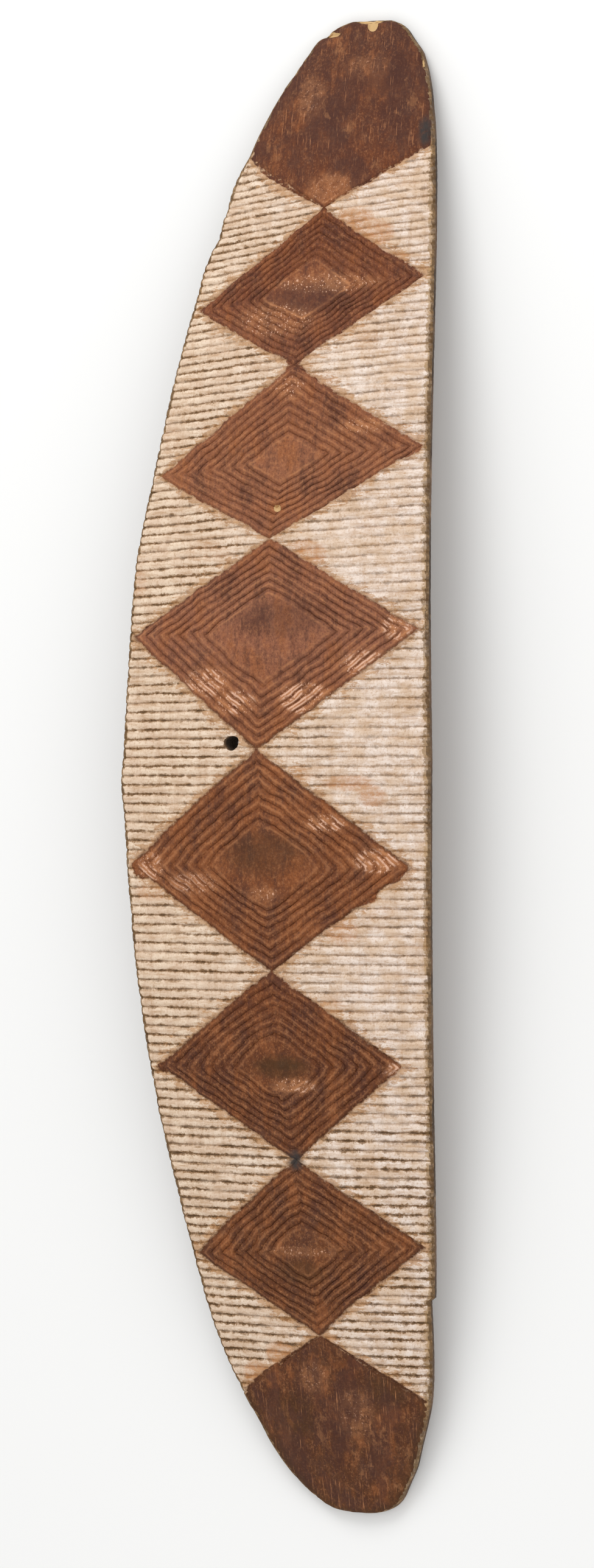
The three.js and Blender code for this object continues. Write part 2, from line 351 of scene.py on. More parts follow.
# %% [markdown]
# ## Patches
#
# The surface is laid out as grids whose lines follow the carving: strips between the rim and a diamond's
# side, rings inside each diamond, and the plain ends. Grids that follow the carving give clean grooves with
# few faces, where an even grid would need millions. Each vertex also carries how far it is from the nearest
# flute and ring groove, how far inside an ochre panel it lies, and how far from the rim. The carving and
# the paint both read these.

# %% A place to collect patches
FAR = 1.0
FIELDS = ("flute", "ring", "inside", "rim", "reach", "behind")
store = {"places": [], "faces": [], "count": 0, **{field: [] for field in FIELDS}}


def add_patch(x, y, z, **values):
    """Adds a grid. Its lines run down the shield, each from left to right as seen from outside."""
    lines, columns = x.shape
    store["places"].append(np.stack([x + SIDEWAYS, y, z], -1).reshape(-1, 3))
    for field in FIELDS:
        store[field].append(np.broadcast_to(values.get(field, 0.0), x.shape).ravel())
    corner = store["count"] + np.arange(lines * columns).reshape(lines, columns)
    quads = np.stack([corner[:-1, :-1], corner[1:, :-1], corner[1:, 1:], corner[:-1, 1:]], -1)
    store["faces"].append(quads.reshape(-1, 4))
    store["count"] += lines * columns


def to_groove(row):
    """How far a row is from the bottom of its nearest flute."""
    number = flute_number(row)
    crowding = np.where(row > 0, HEAD_CROWDING, FOOT_CROWDING)
    step = (1 + crowding * (row / CROWDING_REACH) ** 2) / FLUTE_PITCH
    return np.abs(number - np.round(number)) / step


def edge_start(row):
    width = np.maximum(half_width(row), 1e-6)
    return 1 - np.minimum(EDGE_ROUND, width / 2) / width


def from_rim(row, across):
    step = 0.0005
    slope = (half_width(row + step) - half_width(row - step)) / (2 * step)
    return (1 - np.abs(across)) * half_width(row) / np.hypot(1, slope)


def add_front(row, across, **values):
    x, y = on_row(row, across)
    add_patch(x, y, front_height(x, y), rim=from_rim(row, across), reach=1.0, **values)


print("fields", FIELDS)

# %% [markdown]
# The sides of the diamonds are straight lines from corner to corner. Each row of vertices crosses a left and
# a right side, so one interpolation along the rows gives where every panel begins and ends.

# %% Sides of the panels
def side_line(corners):
    """How far across a panel's side lies, at each row of the flutes."""
    rows = np.array([row for row, _ in corners])
    shares = np.array([across for _, across in corners])
    return np.interp(-band_rows, -rows, shares)


edge = edge_start(band_rows)
left_corners = [(HEAD_CORNERS[0], -1), JUNCTIONS[0]]
right_corners = [(HEAD_CORNERS[1], 1), JUNCTIONS[0]]
for diamond, junction in zip(DIAMONDS, JUNCTIONS[1:]):
    left_corners += [diamond["left"], junction]
    right_corners += [diamond["right"], junction]
left_side = np.maximum(side_line(left_corners + [(FOOT_CORNERS[0], -1)]), -edge)
right_side = np.minimum(side_line(right_corners + [(FOOT_CORNERS[1], 1)]), edge)
for index, (_, across) in zip(junction_rows, JUNCTIONS):
    left_side[index] = right_side[index] = across
for end in (0, -1):
    left_side[end], right_side[end] = -edge[end], edge[end]
print("widest margin", round(float((left_side + edge).max() * WIDTH / 2), 3), "m")

# %% [markdown]
# Between the rim and the panels lie the fluted margins. A margin is a grid with as many columns in a narrow
# place as in a wide one. Its last column is set close to the panel, so the step down to the ochre is crisp.

# %% Margins between rim and panels
MARGIN_COLUMNS = 20
MARGIN_LIP = 0.0008
SIDE_SLOPE = 0.52


def add_margin(side, across_side):
    rim = side * edge
    width = np.abs(across_side - rim) * half_width(band_rows)
    lip = np.clip(MARGIN_LIP / SIDE_SLOPE / np.maximum(width, 1e-6), 0, 0.5)
    share = np.linspace(0, 1, MARGIN_COLUMNS)[None, :] * (1 - lip[:, None])
    share = np.concatenate([share, np.ones((len(band_rows), 1))], axis=1)
    across = rim[:, None] * (1 - share) + across_side[:, None] * share
    away = (1 - share) * width[:, None] * SIDE_SLOPE
    row = np.broadcast_to(band_rows[:, None], across.shape)
    if side > 0:
        row, across, away = row[:, ::-1], across[:, ::-1], away[:, ::-1]
    add_front(row, across, flute=to_groove(row), ring=away, inside=-away)


add_margin(-1, left_side)
add_margin(1, right_side)
print("vertices so far", store["count"])

# %% [markdown]
# A diamond is cut by rings, one inside another, around a plain middle. The grid shrinks the diamond's outline
# towards its middle, with lines at each groove, its lips and its ridges. Inner rings are a little rounded at
# their corners, as a gouge turns there.

# %% Rings inside a diamond
RING_LIP = 0.15
CORE_SHARES = (0.8, 0.6, 0.4, 0.2, 0.0)


def add_diamond(number, diamond):
    top, bottom = junction_rows[number], junction_rows[number + 1]
    span = slice(top, bottom + 1)
    row = np.concatenate([band_rows[span], band_rows[span][::-1][1:]])
    across = np.concatenate([left_side[span], right_side[span][::-1][1:]])
    middle_row = (diamond["left"][0] + diamond["right"][0]) / 2
    middle = (diamond["left"][1] + diamond["right"][1]) / 2
    tall = np.where(row > middle_row, band_rows[top] - middle_row, middle_row - band_rows[bottom])
    wide = np.where(across > middle, diamond["right"][1] - middle, middle - diamond["left"][1])
    up, out = np.abs(row - middle_row) / tall, np.abs(across - middle) / wide
    corner = np.abs(up - out) / np.maximum(up + out, 1e-6)

    half_tall = (band_rows[top] - band_rows[bottom]) / 2
    half_wide = (diamond["right"][1] - diamond["left"][1]) / 2 * half_width(middle_row)
    apothem = half_tall * half_wide / math.hypot(half_tall, half_wide)
    pitch = (1 - diamond["core"]) / diamond["grooves"]
    counts = np.add.outer(np.arange(diamond["grooves"] + 1), [-0.5, -RING_LIP, 0, RING_LIP]).ravel()
    levels = [1 - count * pitch for count in counts if count >= 0]
    levels += [share * (levels[-1] - pitch / 2) for share in (1, *CORE_SHARES)]
    levels = np.array(levels)[::-1, None]

    rounding = 1 - diamond["rounding"] * (1 - levels) * corner[None, :] ** 3
    share = levels * rounding
    count = (1 - levels) / pitch
    to_ring = np.abs(count - np.minimum(np.round(count), diamond["grooves"])) * pitch * apothem
    add_front(
        middle_row * (1 - share) + row[None, :] * share,
        middle * (1 - share) + across[None, :] * share,
        flute=FAR,
        ring=np.broadcast_to(to_ring, share.shape),
        inside=np.broadcast_to((1 - levels) * apothem, share.shape),
    )
    return pitch * apothem


ring_pitches = [add_diamond(number, diamond) for number, diamond in enumerate(DIAMONDS)]
print("ring pitches, mm", [round(1000 * p, 1) for p in ring_pitches])

# %% [markdown]
# The head and foot are plain and end in a rounded tip. Their rows bunch up towards the tip, where the outline
# turns quickly. How far a vertex is inside the panel is its distance from the two lines of the V.

# %% Plain head and foot
PLAIN_COLUMNS = 44
TIP_ROWS = 56


def tip_rows(start, end):
    share = np.sin(np.linspace(0, math.pi / 2, TIP_ROWS + 1))[1:]
    return start + (end - start) * share


head_rows = tip_rows(band_rows[0], HALF)[::-1]
foot_rows = tip_rows(band_rows[-1], -HALF)


def add_plain(rows, left, right, corner_rows):
    across = np.linspace(0, 1, PLAIN_COLUMNS + 1)[None, :]
    across = left[:, None] * (1 - across) + right[:, None] * across
    row = np.broadcast_to(rows[:, None], across.shape)
    junction = JUNCTIONS[0] if rows[0] > 0 else JUNCTIONS[-1]
    sides = []
    for side, corner_row in zip((-1, 1), corner_rows):
        run = (side - junction[1]) * half_width(corner_row)
        rise = corner_row - junction[0]
        off_x = (across - junction[1]) * half_width(row)
        off_y = row - junction[0]
        sides.append((off_y * run - off_x * rise) * np.sign(rise * side) * side / math.hypot(run, rise))
    inside = np.maximum(np.minimum(np.abs(sides[0]), np.abs(sides[1])), 0)
    add_front(row, across, flute=FAR, ring=inside, inside=inside)


top, bottom = junction_rows[0], junction_rows[-1]
add_plain(
    np.concatenate([head_rows, band_rows[: top + 1]]),
    np.concatenate([-edge_start(head_rows), left_side[: top + 1]]),
    np.concatenate([edge_start(head_rows), right_side[: top + 1]]),
    HEAD_CORNERS,
)
add_plain(
    np.concatenate([band_rows[bottom:], foot_rows]),
    np.concatenate([left_side[bottom:], -edge_start(foot_rows)]),
    np.concatenate([right_side[bottom:], edge_start(foot_rows)]),
    FOOT_CORNERS,
)
print("vertices so far", store["count"])

# %% [markdown]
# The rim is rounded over by a few vertices above and below, and the back is one plain grid. The flutes run
# out over the rim and die down its side, which is why the outline looks finely notched.

# %% Rim and back
ROUND_STEPS = 3
BACK_COLUMNS = 24
SIDE_REACH = (1.0, 0.75, 0.5, 0.4, 0.3, 0.2, 0.1, 0.0, 0.0)


def rim_lines(rows, side):
    """Lines of vertices from the front edge, over the rim, to the edge of the back."""
    start = edge_start(rows)
    radius = (1 - start) * half_width(rows)
    angle = np.linspace(0, math.pi / 2, ROUND_STEPS + 1)
    inward = np.concatenate([1 - np.sin(angle), [0.0], (1 - np.cos(angle))])
    row = np.broadcast_to(rows[:, None], (len(rows), len(inward)))
    across = side * (1 - (1 - start)[:, None] * inward[None, :])
    x, y = on_row(row, across)
    top_x, top_y = on_row(rows, side * start)
    top = front_height(top_x, top_y)[:, None] - rim_base(y)
    bottom = back_height(x, y) - rim_base(y)
    over = radius[:, None] * (1 - np.cos(angle))
    middle = ((RIM + EDGE_ROUND) / 2 * np.ones(len(rows)))[:, None]
    under = radius[:, None] * (1 - np.sin(angle))
    height = np.concatenate([top[:, : len(angle)] - over, middle, bottom[:, -len(angle) :] + under], axis=1)
    z = rim_base(y) + height
    return x, y, z, row


def add_rim(rows, side, fluted):
    x, y, z, row = rim_lines(rows, side)
    reach = np.array(SIDE_REACH)[None, :] * np.ones_like(x)
    flute = np.where(fluted[:, None], to_groove(row), FAR)
    if side < 0:
        x, y, z, reach, flute = (grid[:, ::-1] for grid in (x, y, z, reach, flute))
    add_patch(x, y, z, flute=flute, ring=FAR, inside=-0.002, rim=0.0, reach=reach, behind=1.0 - reach)


all_rows = np.concatenate([head_rows, band_rows, foot_rows])
is_fluted = (all_rows < min(HEAD_CORNERS)) & (all_rows > max(FOOT_CORNERS))
add_rim(all_rows, -1, is_fluted)
add_rim(all_rows, 1, is_fluted)

back_share = np.linspace(1, -1, BACK_COLUMNS + 1)[None, :] * edge_start(all_rows)[:, None]
back_row = np.broadcast_to(all_rows[:, None], back_share.shape)
back_x, back_y = on_row(back_row, back_share)
add_patch(
    back_x, back_y, back_height(back_x, back_y),
    flute=FAR, ring=FAR, inside=-FAR, rim=from_rim(back_row, back_share), behind=1.0,
)
print("vertices in all patches", store["count"])

# %% [markdown]
# The patches meet at equal places, so welding vertices by distance closes them into one skin. Where lines
# come together, at the diamonds' corners and at the two tips, the weld also takes out the faces that have no
# area.

# %% Weld the blank
WELD = 2e-6


def plain_object(name, mesh):
    made = bpy.data.objects.new(name, mesh)
    scene.collection.objects.link(made)
    return made


blank_mesh = bpy.data.meshes.new("Blank")
blank_mesh.from_pydata(np.concatenate(store["places"]), [], np.concatenate(store["faces"]))
for field in FIELDS:
    layer = blank_mesh.attributes.new(field, "FLOAT", "POINT")
    layer.data.foreach_set("value", np.concatenate(store[field]).astype(np.float32))

skin = bmesh.new()
skin.from_mesh(blank_mesh)
bmesh.ops.remove_doubles(skin, verts=skin.verts, dist=WELD)
bmesh.ops.dissolve_degenerate(skin, edges=skin.edges, dist=WELD)
open_edges = [e for e in skin.edges if len(e.link_faces) != 2]
print("welded", len(skin.verts), "vertices; open edges", len(open_edges))
skin.to_mesh(blank_mesh)
skin.free()
blank = plain_object("Blank", blank_mesh)

# %% [markdown]
# ## Carving with Geometry Nodes
#
# The blank is smooth. Cutting it is the same small job done hundreds of times, which is what Geometry Nodes
# are for. The tree below reads how far each vertex is from its nearest groove and pushes it in by a V-shaped
# cut. Noise makes the cuts wander and fade, as they do under a hand-held gouge, and lets clay fill them in
# places. The same tree nicks the rim, leaves adze hollows on the back, and gives the two sides their
# materials.

# %% Helpers for node trees
def open_tree(tree):
    """Makes this the tree that every helper below adds its nodes to."""
    global desk
    desk = tree
    return tree


def feed(socket, value):
    """Links a socket to another, or sets it to a plain value."""
    if isinstance(value, bpy.types.NodeSocket):
        desk.links.new(value, socket)
    else:
        socket.default_value = value


def add_node(kind, inputs=(), **settings):
    node = desk.nodes.new(kind)
    for name, value in settings.items():
        setattr(node, name, value)
    for name, value in dict(inputs).items():
        feed(node.inputs[name], value)
    return node


def maths(operation, *values, clamp=False, kind="ShaderNodeMath"):
    node = add_node(kind, operation=operation)
    if clamp:
        node.use_clamp = True
    for socket, value in zip(node.inputs, values):
        feed(socket, value)
    return node.outputs[0]


def vector_maths(operation, *values):
    return maths(operation, *values, kind="ShaderNodeVectorMath")


def scaled(vector, amount):
    return add_node("ShaderNodeVectorMath", {"Vector": vector, "Scale": amount}, operation="SCALE").outputs[0]


def add(first, second):
    return maths("ADD", first, second)


def minus(first, second, clamp=False):
    return maths("SUBTRACT", first, second, clamp=clamp)


def larger(first, second):
    return maths("MAXIMUM", first, second)


def size_of(value):
    return maths("ABSOLUTE", value)


def times(*values):
    total = values[0]
    for value in values[1:]:
        total = maths("MULTIPLY", total, value)
    return total


def ramp(value, start, end, low=0.0, high=1.0, kind="LINEAR"):
    """Goes from low to high while value goes from start to end, and is held beyond both."""
    inputs = {"Value": value, "From Min": start, "From Max": end, "To Min": low, "To Max": high}
    return add_node("ShaderNodeMapRange", inputs, interpolation_type=kind).outputs["Result"]


def ease(value, start, end, low=0.0, high=1.0):
    """A ramp with a soft start and a soft end."""
    return ramp(value, start, end, low, high, "SMOOTHSTEP")


def noise_node(vector, seed, detail=3.0, roughness=0.5):
    inputs = {"Vector": vector, "W": seed, "Scale": 1.0, "Detail": detail, "Roughness": roughness}
    return add_node("ShaderNodeTexNoise", inputs, noise_dimensions="4D").outputs


def noise(per_metre, seed, detail=3.0, roughness=0.5):
    """Smooth noise at this place, with so many bumps per metre along each axis."""
    return noise_node(vector_maths("MULTIPLY", place, per_metre), seed, detail, roughness)[0]


def new_group(name, kind, inputs, outputs):
    """Opens a new group. An input has its usual value or a kind of socket, and an output has a kind."""
    group = open_tree(bpy.data.node_groups.new(name, kind))
    for title, value in inputs.items():
        plain = "Color" if isinstance(value, tuple) else "Float"
        socket_type = "NodeSocket" + (value if isinstance(value, str) else plain)
        socket = group.interface.new_socket(title, in_out="INPUT", socket_type=socket_type)
        if not isinstance(value, str):
            socket.default_value = value
    for title, socket_kind in outputs.items():
        group.interface.new_socket(title, in_out="OUTPUT", socket_type="NodeSocket" + socket_kind)
    return group, group.nodes.new("NodeGroupInput").outputs, group.nodes.new("NodeGroupOutput").inputs


print("helpers ready")

# %% [markdown]
# The carving tree's inputs are the carver's choices, in metres. It reads the position, the normal and the
# fields of each vertex.

# %% The carving tree
CARVING_SEED = 4.0

carving_inputs = {
    "Geometry": "Geometry",
    **{"Flute Depth": 0.0008, "Flute Half Width": 0.0011, "Flute Crown": 0.0003},
    **{"Ring Depth": 0.0009, "Ring Half Width": 0.00075, "Ring Crown": 0.0003},
    **{"Wander": 0.0013, "Unevenness": 0.0006, "Edge Nicks": 0.0009, "Adze Depth": 0.0011},
    **{"Seed": CARVING_SEED, "Front": "Material", "Back": "Material"},
}
carving_outputs = {"Geometry": "Geometry"}
carving, given, result = new_group("Carve Shield", "GeometryNodeTree", carving_inputs, carving_outputs)


def read_field(name):
    node = add_node("GeometryNodeInputNamedAttribute", {"Name": name}, data_type="FLOAT")
    return node.outputs["Attribute"]


place = add_node("GeometryNodeInputPosition").outputs[0]
facing = add_node("GeometryNodeInputNormal").outputs[0]
field = {name: read_field(name) for name in (*FIELDS, "filled", "broken")}
print("fields read by the tree", list(field))

# %% [markdown]
# A groove is a V whose two sides are crowned, so the ridges between grooves come out rounded. Clay fills some
# flutes nearly level, and a ring's groove fades in and out.

# %% Grooves
V_REACH = 0.0026


def groove_cut(distance, half_width):
    return minus(1, maths("DIVIDE", distance, half_width), clamp=True)


def crown_drop(distance, crown):
    low_side = ramp(distance, 0, V_REACH, 1, 0)
    return times(low_side, low_side, crown)


clay_noise = noise((38, 210, 38), given["Seed"], 2)
unfilled = ease(minus(clay_noise, field["filled"]), 0.22, 0.46, 0.12, 1)
flute_cut = times(groove_cut(field["flute"], given["Flute Half Width"]), unfilled, field["reach"])
flute_drop = add(
    times(flute_cut, given["Flute Depth"]),
    times(crown_drop(field["flute"], given["Flute Crown"]), field["reach"]),
)

ring_noise = noise((55, 55, 55), given["Seed"], 2)
ring_strength = ramp(ring_noise, 0.3, 0.6, 0.35, 1)
ring_cut = times(groove_cut(field["ring"], given["Ring Half Width"]), ring_strength)
in_panel = ease(field["inside"], -0.0009, 0)
ring_drop = add(
    times(ring_cut, given["Ring Depth"]),
    times(crown_drop(field["ring"], given["Ring Crown"]), in_panel),
)
groove_drop = larger(flute_drop, ring_drop)
print("groove nodes", len(carving.nodes))

# %% [markdown]
# No old surface is even. The front swells and sinks slowly, the rim has lost small nicks, chips go a little
# deeper, and the back shows the overlapping hollows of an adze, which cells of smooth Voronoi noise give.

# %% Unevenness, rim and back
slow_noise = noise((30, 22, 30), given["Seed"], 2)
slow_drop = times(slow_noise, given["Unevenness"], ease(field["behind"], 0.6, 0))

edge_noise = noise((60, 60, 60), given["Seed"], 4, 0.65)
at_rim = times(ease(field["rim"], 0.0018, 0), ease(field["reach"], 0, 0.3))
edge_drop = times(ease(edge_noise, 0.42, 0.75), given["Edge Nicks"], at_rim)

adze = add_node(
    "ShaderNodeTexVoronoi",
    {"Vector": vector_maths("MULTIPLY", place, (42, 17, 42)), "Scale": 1, "Smoothness": 0.35},
    feature="SMOOTH_F1",
)
hollow = ease(adze.outputs["Distance"], 0.75, 0)
adze_drop = times(
    hollow,
    given["Adze Depth"],
    ease(field["behind"], 0.5, 1),
    ease(field["rim"], 0.001, 0.008),
    -1,
)
chip_noise = noise((300, 120, 300), given["Seed"], 2)
chip_drop = times(field["broken"], ramp(chip_noise, 0.3, 0.7, 0.0014, 0.0022))
print("all drops made")

# %% [markdown]
# All the drops are added up, and each vertex goes in along its own normal. The wandering is a sideways move,
# which bends the grooves themselves.

# %% Moving the vertices
wobble = noise_node(vector_maths("MULTIPLY", place, (70, 70, 70)), given["Seed"], 2, 0.55)["Color"]
wobble = vector_maths("MULTIPLY", vector_maths("SUBTRACT", wobble, (0.5, 0.5, 0.5)), (1, 1, 0))
wander_size = times(
    given["Wander"],
    4,
    ease(field["rim"], 0.001, 0.009),
    ease(field["behind"], 0.5, 0),
    ramp(field["inside"], -0.003, 0.004, 0.4, 1),
)
drop = groove_drop
for extra in (slow_drop, edge_drop, chip_drop):
    drop = add(drop, extra)
shift = vector_maths("ADD", scaled(wobble, wander_size), scaled(facing, times(drop, -1)))
shift = vector_maths("ADD", shift, scaled(facing, adze_drop))

moved = add_node("GeometryNodeSetPosition", {"Geometry": given["Geometry"], "Offset": shift})
whole = add_node("GeometryNodeRealizeInstances", {"Geometry": moved.outputs[0]})
painted = add_node("GeometryNodeSetMaterial", {"Geometry": whole.outputs[0], "Material": given["Front"]})
is_behind = maths("GREATER_THAN", field["behind"], 0.5)
bare = {"Geometry": painted.outputs[0], "Selection": is_behind, "Material": given["Back"]}
feed(result["Geometry"], add_node("GeometryNodeSetMaterial", bare).outputs[0])
print("carving tree has", len(carving.nodes), "nodes")

# %% [markdown]
# ## Marks of age
#
# A few marks sit at known places: a through hole, two knots, chips of bare wood, blots and spills where wet
# ochre ran over the clay, paler and darker places in the ochre, and areas where clay fills the flutes. Each
# is a soft spot: its place across and along, its half width and half height, all in millimetres, and perhaps
# how strong it is. They are worked out at the vertices, so that the carving can dent the wood there and the
# paint can change colour.

# %% Spots
HOLE = (-0.0235, 0.0138)
HOLE_RADIUS = 0.0045

SPOT_CORE = 0.55
SPOT_END = 1.25
KNOTS = [(11.8, -234.6, 4, 6.5), (82.6, 379.2, 4, 9.5)]
CHIPS = [
    (44, 449.7, 10.5, 3), (45.2, 446.2, 3.4, 4.5), (17, 441.8, 8, 1.6), (78.5, 425, 1.6, 7.5),
    (3.8, 153.4, 2.4, 2.2),
]
BLOTS = [
    (44, 326, 14, 9, 1.0), (58, 318, 12, 10, 0.9), (70, 302, 10, 6, 0.7), (54, 255, 14, 10, 0.5),
    (24, 228, 16, 8, 0.6), (50, -10, 18, 6, 0.9), (64, -18, 10, 8, 0.9), (22, 126, 16, 10, 0.9),
    (45, -98, 12, 10, 0.8), (96, -100, 4, 14, 0.9), (66, -86, 14, 8, 0.5), (-6, -353, 11, 9, 1.0),
    (-22, -366, 12, 9, 1.0), (24, -344, 10, 7, 0.7), (-40, 128, 22, 8, 0.5), (-70, 196, 12, 10, 0.5),
    (-88, 110, 8, 10, 0.6), (-20, 238, 12, 8, 0.4), (-78, -75, 14, 8, 0.7), (20, -6, 12, 8, 0.6),
    (-16, -14, 12, 10, 0.5), (36, -142, 12, 8, 0.6),
]
PALES = [
    (13, -190, 15, 5, 0.8), (30, 288, 34, 6, 0.8), (-2, 267, 26, 11, 0.7), (54, 202, 14, 5, 0.8),
    (8, 226, 12, 8, 0.6), (-3, -76, 10, 4, 0.8), (-40, 50, 16, 10, 0.8), (-20, 38, 14, 8, 0.9),
    (24, 40, 18, 10, 1.0), (60, 60, 16, 10, 0.8), (78, 82, 10, 8, 0.9), (66, -56, 14, 8, 0.9),
    (36, -34, 14, 6, 0.7), (-78, -60, 10, 10, 0.7), (-50, -70, 20, 8, 0.5), (12, -290, 26, 3.5, 0.4),
    (75, -180, 8, 5, 0.8), (62, -326, 16, 6, 0.5), (15, -366, 10, 10, 0.6), (40, -388, 12, 16, 0.5),
    (28, 346, 16, 10, 0.6), (44, 420, 14, 8, 0.4), (10, 402, 10, 14, 0.5),
]
DARKS = [
    (6, -179, 18, 7, 1.0), (16, 280, 24, 10, 0.7), (-2, -52, 26, 14, 0.7), (10, 88, 28, 12, 0.5),
    (66, 402, 12, 26, 0.8), (26, 380, 16, 20, 0.5), (0, -392, 16, 16, 0.6), (62, -370, 14, 14, 0.6),
    (12, -302, 16, 8, 0.6),
]
SPILLS = [
    (-85.5, -62, 6, 6.5, 0.6), (76, -62.5, 6, 6.5, 0.6), (-77, -86, 8, 3, 0.5), (60, -78, 8, 4, 0.4),
    (85, 186, 5, 5, 0.3), (12, 239, 7, 4, 0.3), (-76, -183, 5, 5, 0.3),
]
FILLED = [
    (62, 215, 30, 30, 0.14), (60, 130, 34, 30, 0.2), (66, 10, 34, 42, 0.18), (56, 345, 30, 26, 0.12),
    (50, -118, 26, 16, 0.1), (-45, -100, 24, 12, 0.12),
]
SPOTS = {"broken": CHIPS, "knot": KNOTS, "blot": BLOTS, "pale": PALES, "dark": DARKS}
SPOTS.update({"spilt": SPILLS, "filled": FILLED})


def spots(x, y, places):
    """How strong the strongest of several round, soft spots is at each point."""
    strongest = np.zeros_like(x)
    for spot_x, spot_y, wide, tall, *strength in places:
        off_x = (x - spot_x / 1000 - SIDEWAYS) / (wide / 1000)
        off_y = (y - spot_y / 1000) / (tall / 1000)
        soft = 1 - smooth_step(SPOT_CORE, SPOT_END, np.hypot(off_x, off_y))
        strongest = np.maximum(strongest, soft * (strength[0] if strength else 1))
    return strongest


def read_points(mesh):
    points = np.empty(len(mesh.vertices) * 3, np.float32)
    mesh.vertices.foreach_get("co", points)
    return points.reshape(-1, 3)


def write_field(mesh, name, values):
    layer = mesh.attributes.get(name) or mesh.attributes.new(name, "FLOAT", "POINT")
    layer.data.foreach_set("value", np.asarray(values, np.float32))


def read_layer(mesh, name):
    values = np.empty(len(mesh.vertices), np.float32)
    mesh.attributes[name].data.foreach_get("value", values)
    return values


points = read_points(blank_mesh)
on_front = 1 - np.clip(read_layer(blank_mesh, "behind"), 0, 1)
write_field(blank_mesh, "filled", spots(points[:, 0], points[:, 1], FILLED))
write_field(blank_mesh, "broken", spots(points[:, 0], points[:, 1], CHIPS) * on_front)
print("spots written")

# %% [markdown]
# The tree runs once, as a modifier that gets its inputs, and its result is kept as a plain mesh. That way the
# next steps can join other bodies to the board.

# %% Cut the grooves
clay_and_ochre = bpy.data.materials.new("Clay And Ochre")
bare_timber = bpy.data.materials.new("Bare Timber")


def grow(source, tree, values):
    """Runs a Geometry Nodes tree over an object and gives the result as a plain mesh."""
    modifier = source.modifiers.new(tree.name, "NODES")
    modifier.node_group = tree
    for item in tree.interface.items_tree:
        if item.in_out == "INPUT" and item.name in values:
            modifier[item.identifier] = values[item.name]
    grown = source.evaluated_get(bpy.context.evaluated_depsgraph_get())
    mesh = bpy.data.meshes.new_from_object(grown)
    source.modifiers.remove(modifier)
    return mesh


carved_mesh = grow(blank, carving, {"Seed": CARVING_SEED, "Front": clay_and_ochre, "Back": bare_timber})
print("carved", len(carved_mesh.vertices), "vertices")

# %% [markdown]
# ## The grip
#
# The grip is a bar that bridges the middle of the back, with room behind it for four fingers. Its feet flare
# into the board, because it is not a part that was fixed on: it is what was left standing when the back was
# hollowed. It is made as a row of cross sections along its length, then joined to the board with a Boolean,
# and the hole is bored with another.

# %% Grip sections
GRIP_WIDTH = 0.027
GRIP_LENGTH = 0.224
GRIP_FLAT = 0.050
GRIP_THICKNESS = 0.019
GRIP_GAP = 0.046
GAP_CORNER = 0.012
FOOT_FLARE = 0.009
GRIP_ROUND = 0.006
FILLET = 0.006
FILLET_REACH = 0.005
IN_BOARD = BOW + HOLLOW + 0.003
CURVE_START = 0.024
CURVE_END = 0.026
CURVE_STEPS = 60
CORNER_STEPS = 7
BURIED_ROUND = 0.0004
GRIP_SECTIONS = 22
GAP_SECTIONS = 8
HAIR = 0.0001


def bezier(points, count):
    """A cubic curve through its first and last point."""
    t = np.linspace(0, 1, count)[:, None]
    a, b, c, d = (np.array(point) for point in points)
    return a * (1 - t) ** 3 + 3 * b * t * (1 - t) ** 2 + 3 * c * t**2 * (1 - t) + d * t**3


grip_end = GRIP_LENGTH / 2
curve_start = [(GRIP_FLAT, 0), (GRIP_FLAT + CURVE_START, 0)]
curve_end = [(grip_end - CURVE_END, BOW), (grip_end, IN_BOARD)]
underside = bezier(curve_start + curve_end, CURVE_STEPS)


def grip_bottom(y):
    return np.interp(abs(y), underside[:, 0], underside[:, 1])


def grip_top(y):
    into = min(max(abs(y) - (GRIP_GAP - GAP_CORNER), 0) / GAP_CORNER, 1)
    return GRIP_THICKNESS + GAP_CORNER * (1 - math.sqrt(1 - into**2)) if abs(y) < GRIP_GAP else IN_BOARD


def grip_section(y):
    bottom, top = float(grip_bottom(y)), grip_top(y)
    in_foot = abs(y) > GRIP_GAP
    half = GRIP_WIDTH / 2 + FOOT_FLARE * float(smooth_step(GRIP_GAP, grip_end, abs(y)))
    low_round = min(GRIP_ROUND, (top - bottom) * 0.4)
    top_round = low_round if not in_foot else BURIED_ROUND
    turn = np.linspace(0, math.pi / 2, CORNER_STEPS)
    x = np.concatenate([
        half - low_round + low_round * np.sin(turn),
        np.full(CORNER_STEPS, half),
        half - top_round + top_round * np.cos(turn),
    ])
    z = np.concatenate([
        bottom + low_round * (1 - np.cos(turn)),
        np.linspace(bottom + low_round, top - top_round, CORNER_STEPS + 2)[1:-1],
        top - top_round + top_round * np.sin(turn),
    ])
    if in_foot:
        board = float(back_height(np.array(half), np.array(y)))
        x = x + FILLET * np.exp(-np.maximum(board - z, 0) / FILLET_REACH)
    x, z = np.concatenate([x, -x[::-1]]), np.concatenate([z, z[::-1]])
    return np.stack([x + SIDEWAYS, np.full_like(x, y), z], -1)


def grip_stations():
    """Where the cross sections lie. They crowd at the ends of the gap, where its corners are rounded."""
    bar = np.linspace(-(GRIP_GAP - GAP_CORNER), GRIP_GAP - GAP_CORNER, GRIP_SECTIONS)
    corner = GRIP_GAP - GAP_CORNER + GAP_CORNER * np.sin(np.linspace(0, math.pi / 2, GAP_SECTIONS)[1:])
    corner[-1] = GRIP_GAP - HAIR
    foot = np.linspace(GRIP_GAP + 0.002, grip_end - 0.0004, GRIP_SECTIONS)
    half = np.concatenate([corner, [GRIP_GAP + HAIR], foot])
    return np.concatenate([-half[::-1], bar, half])


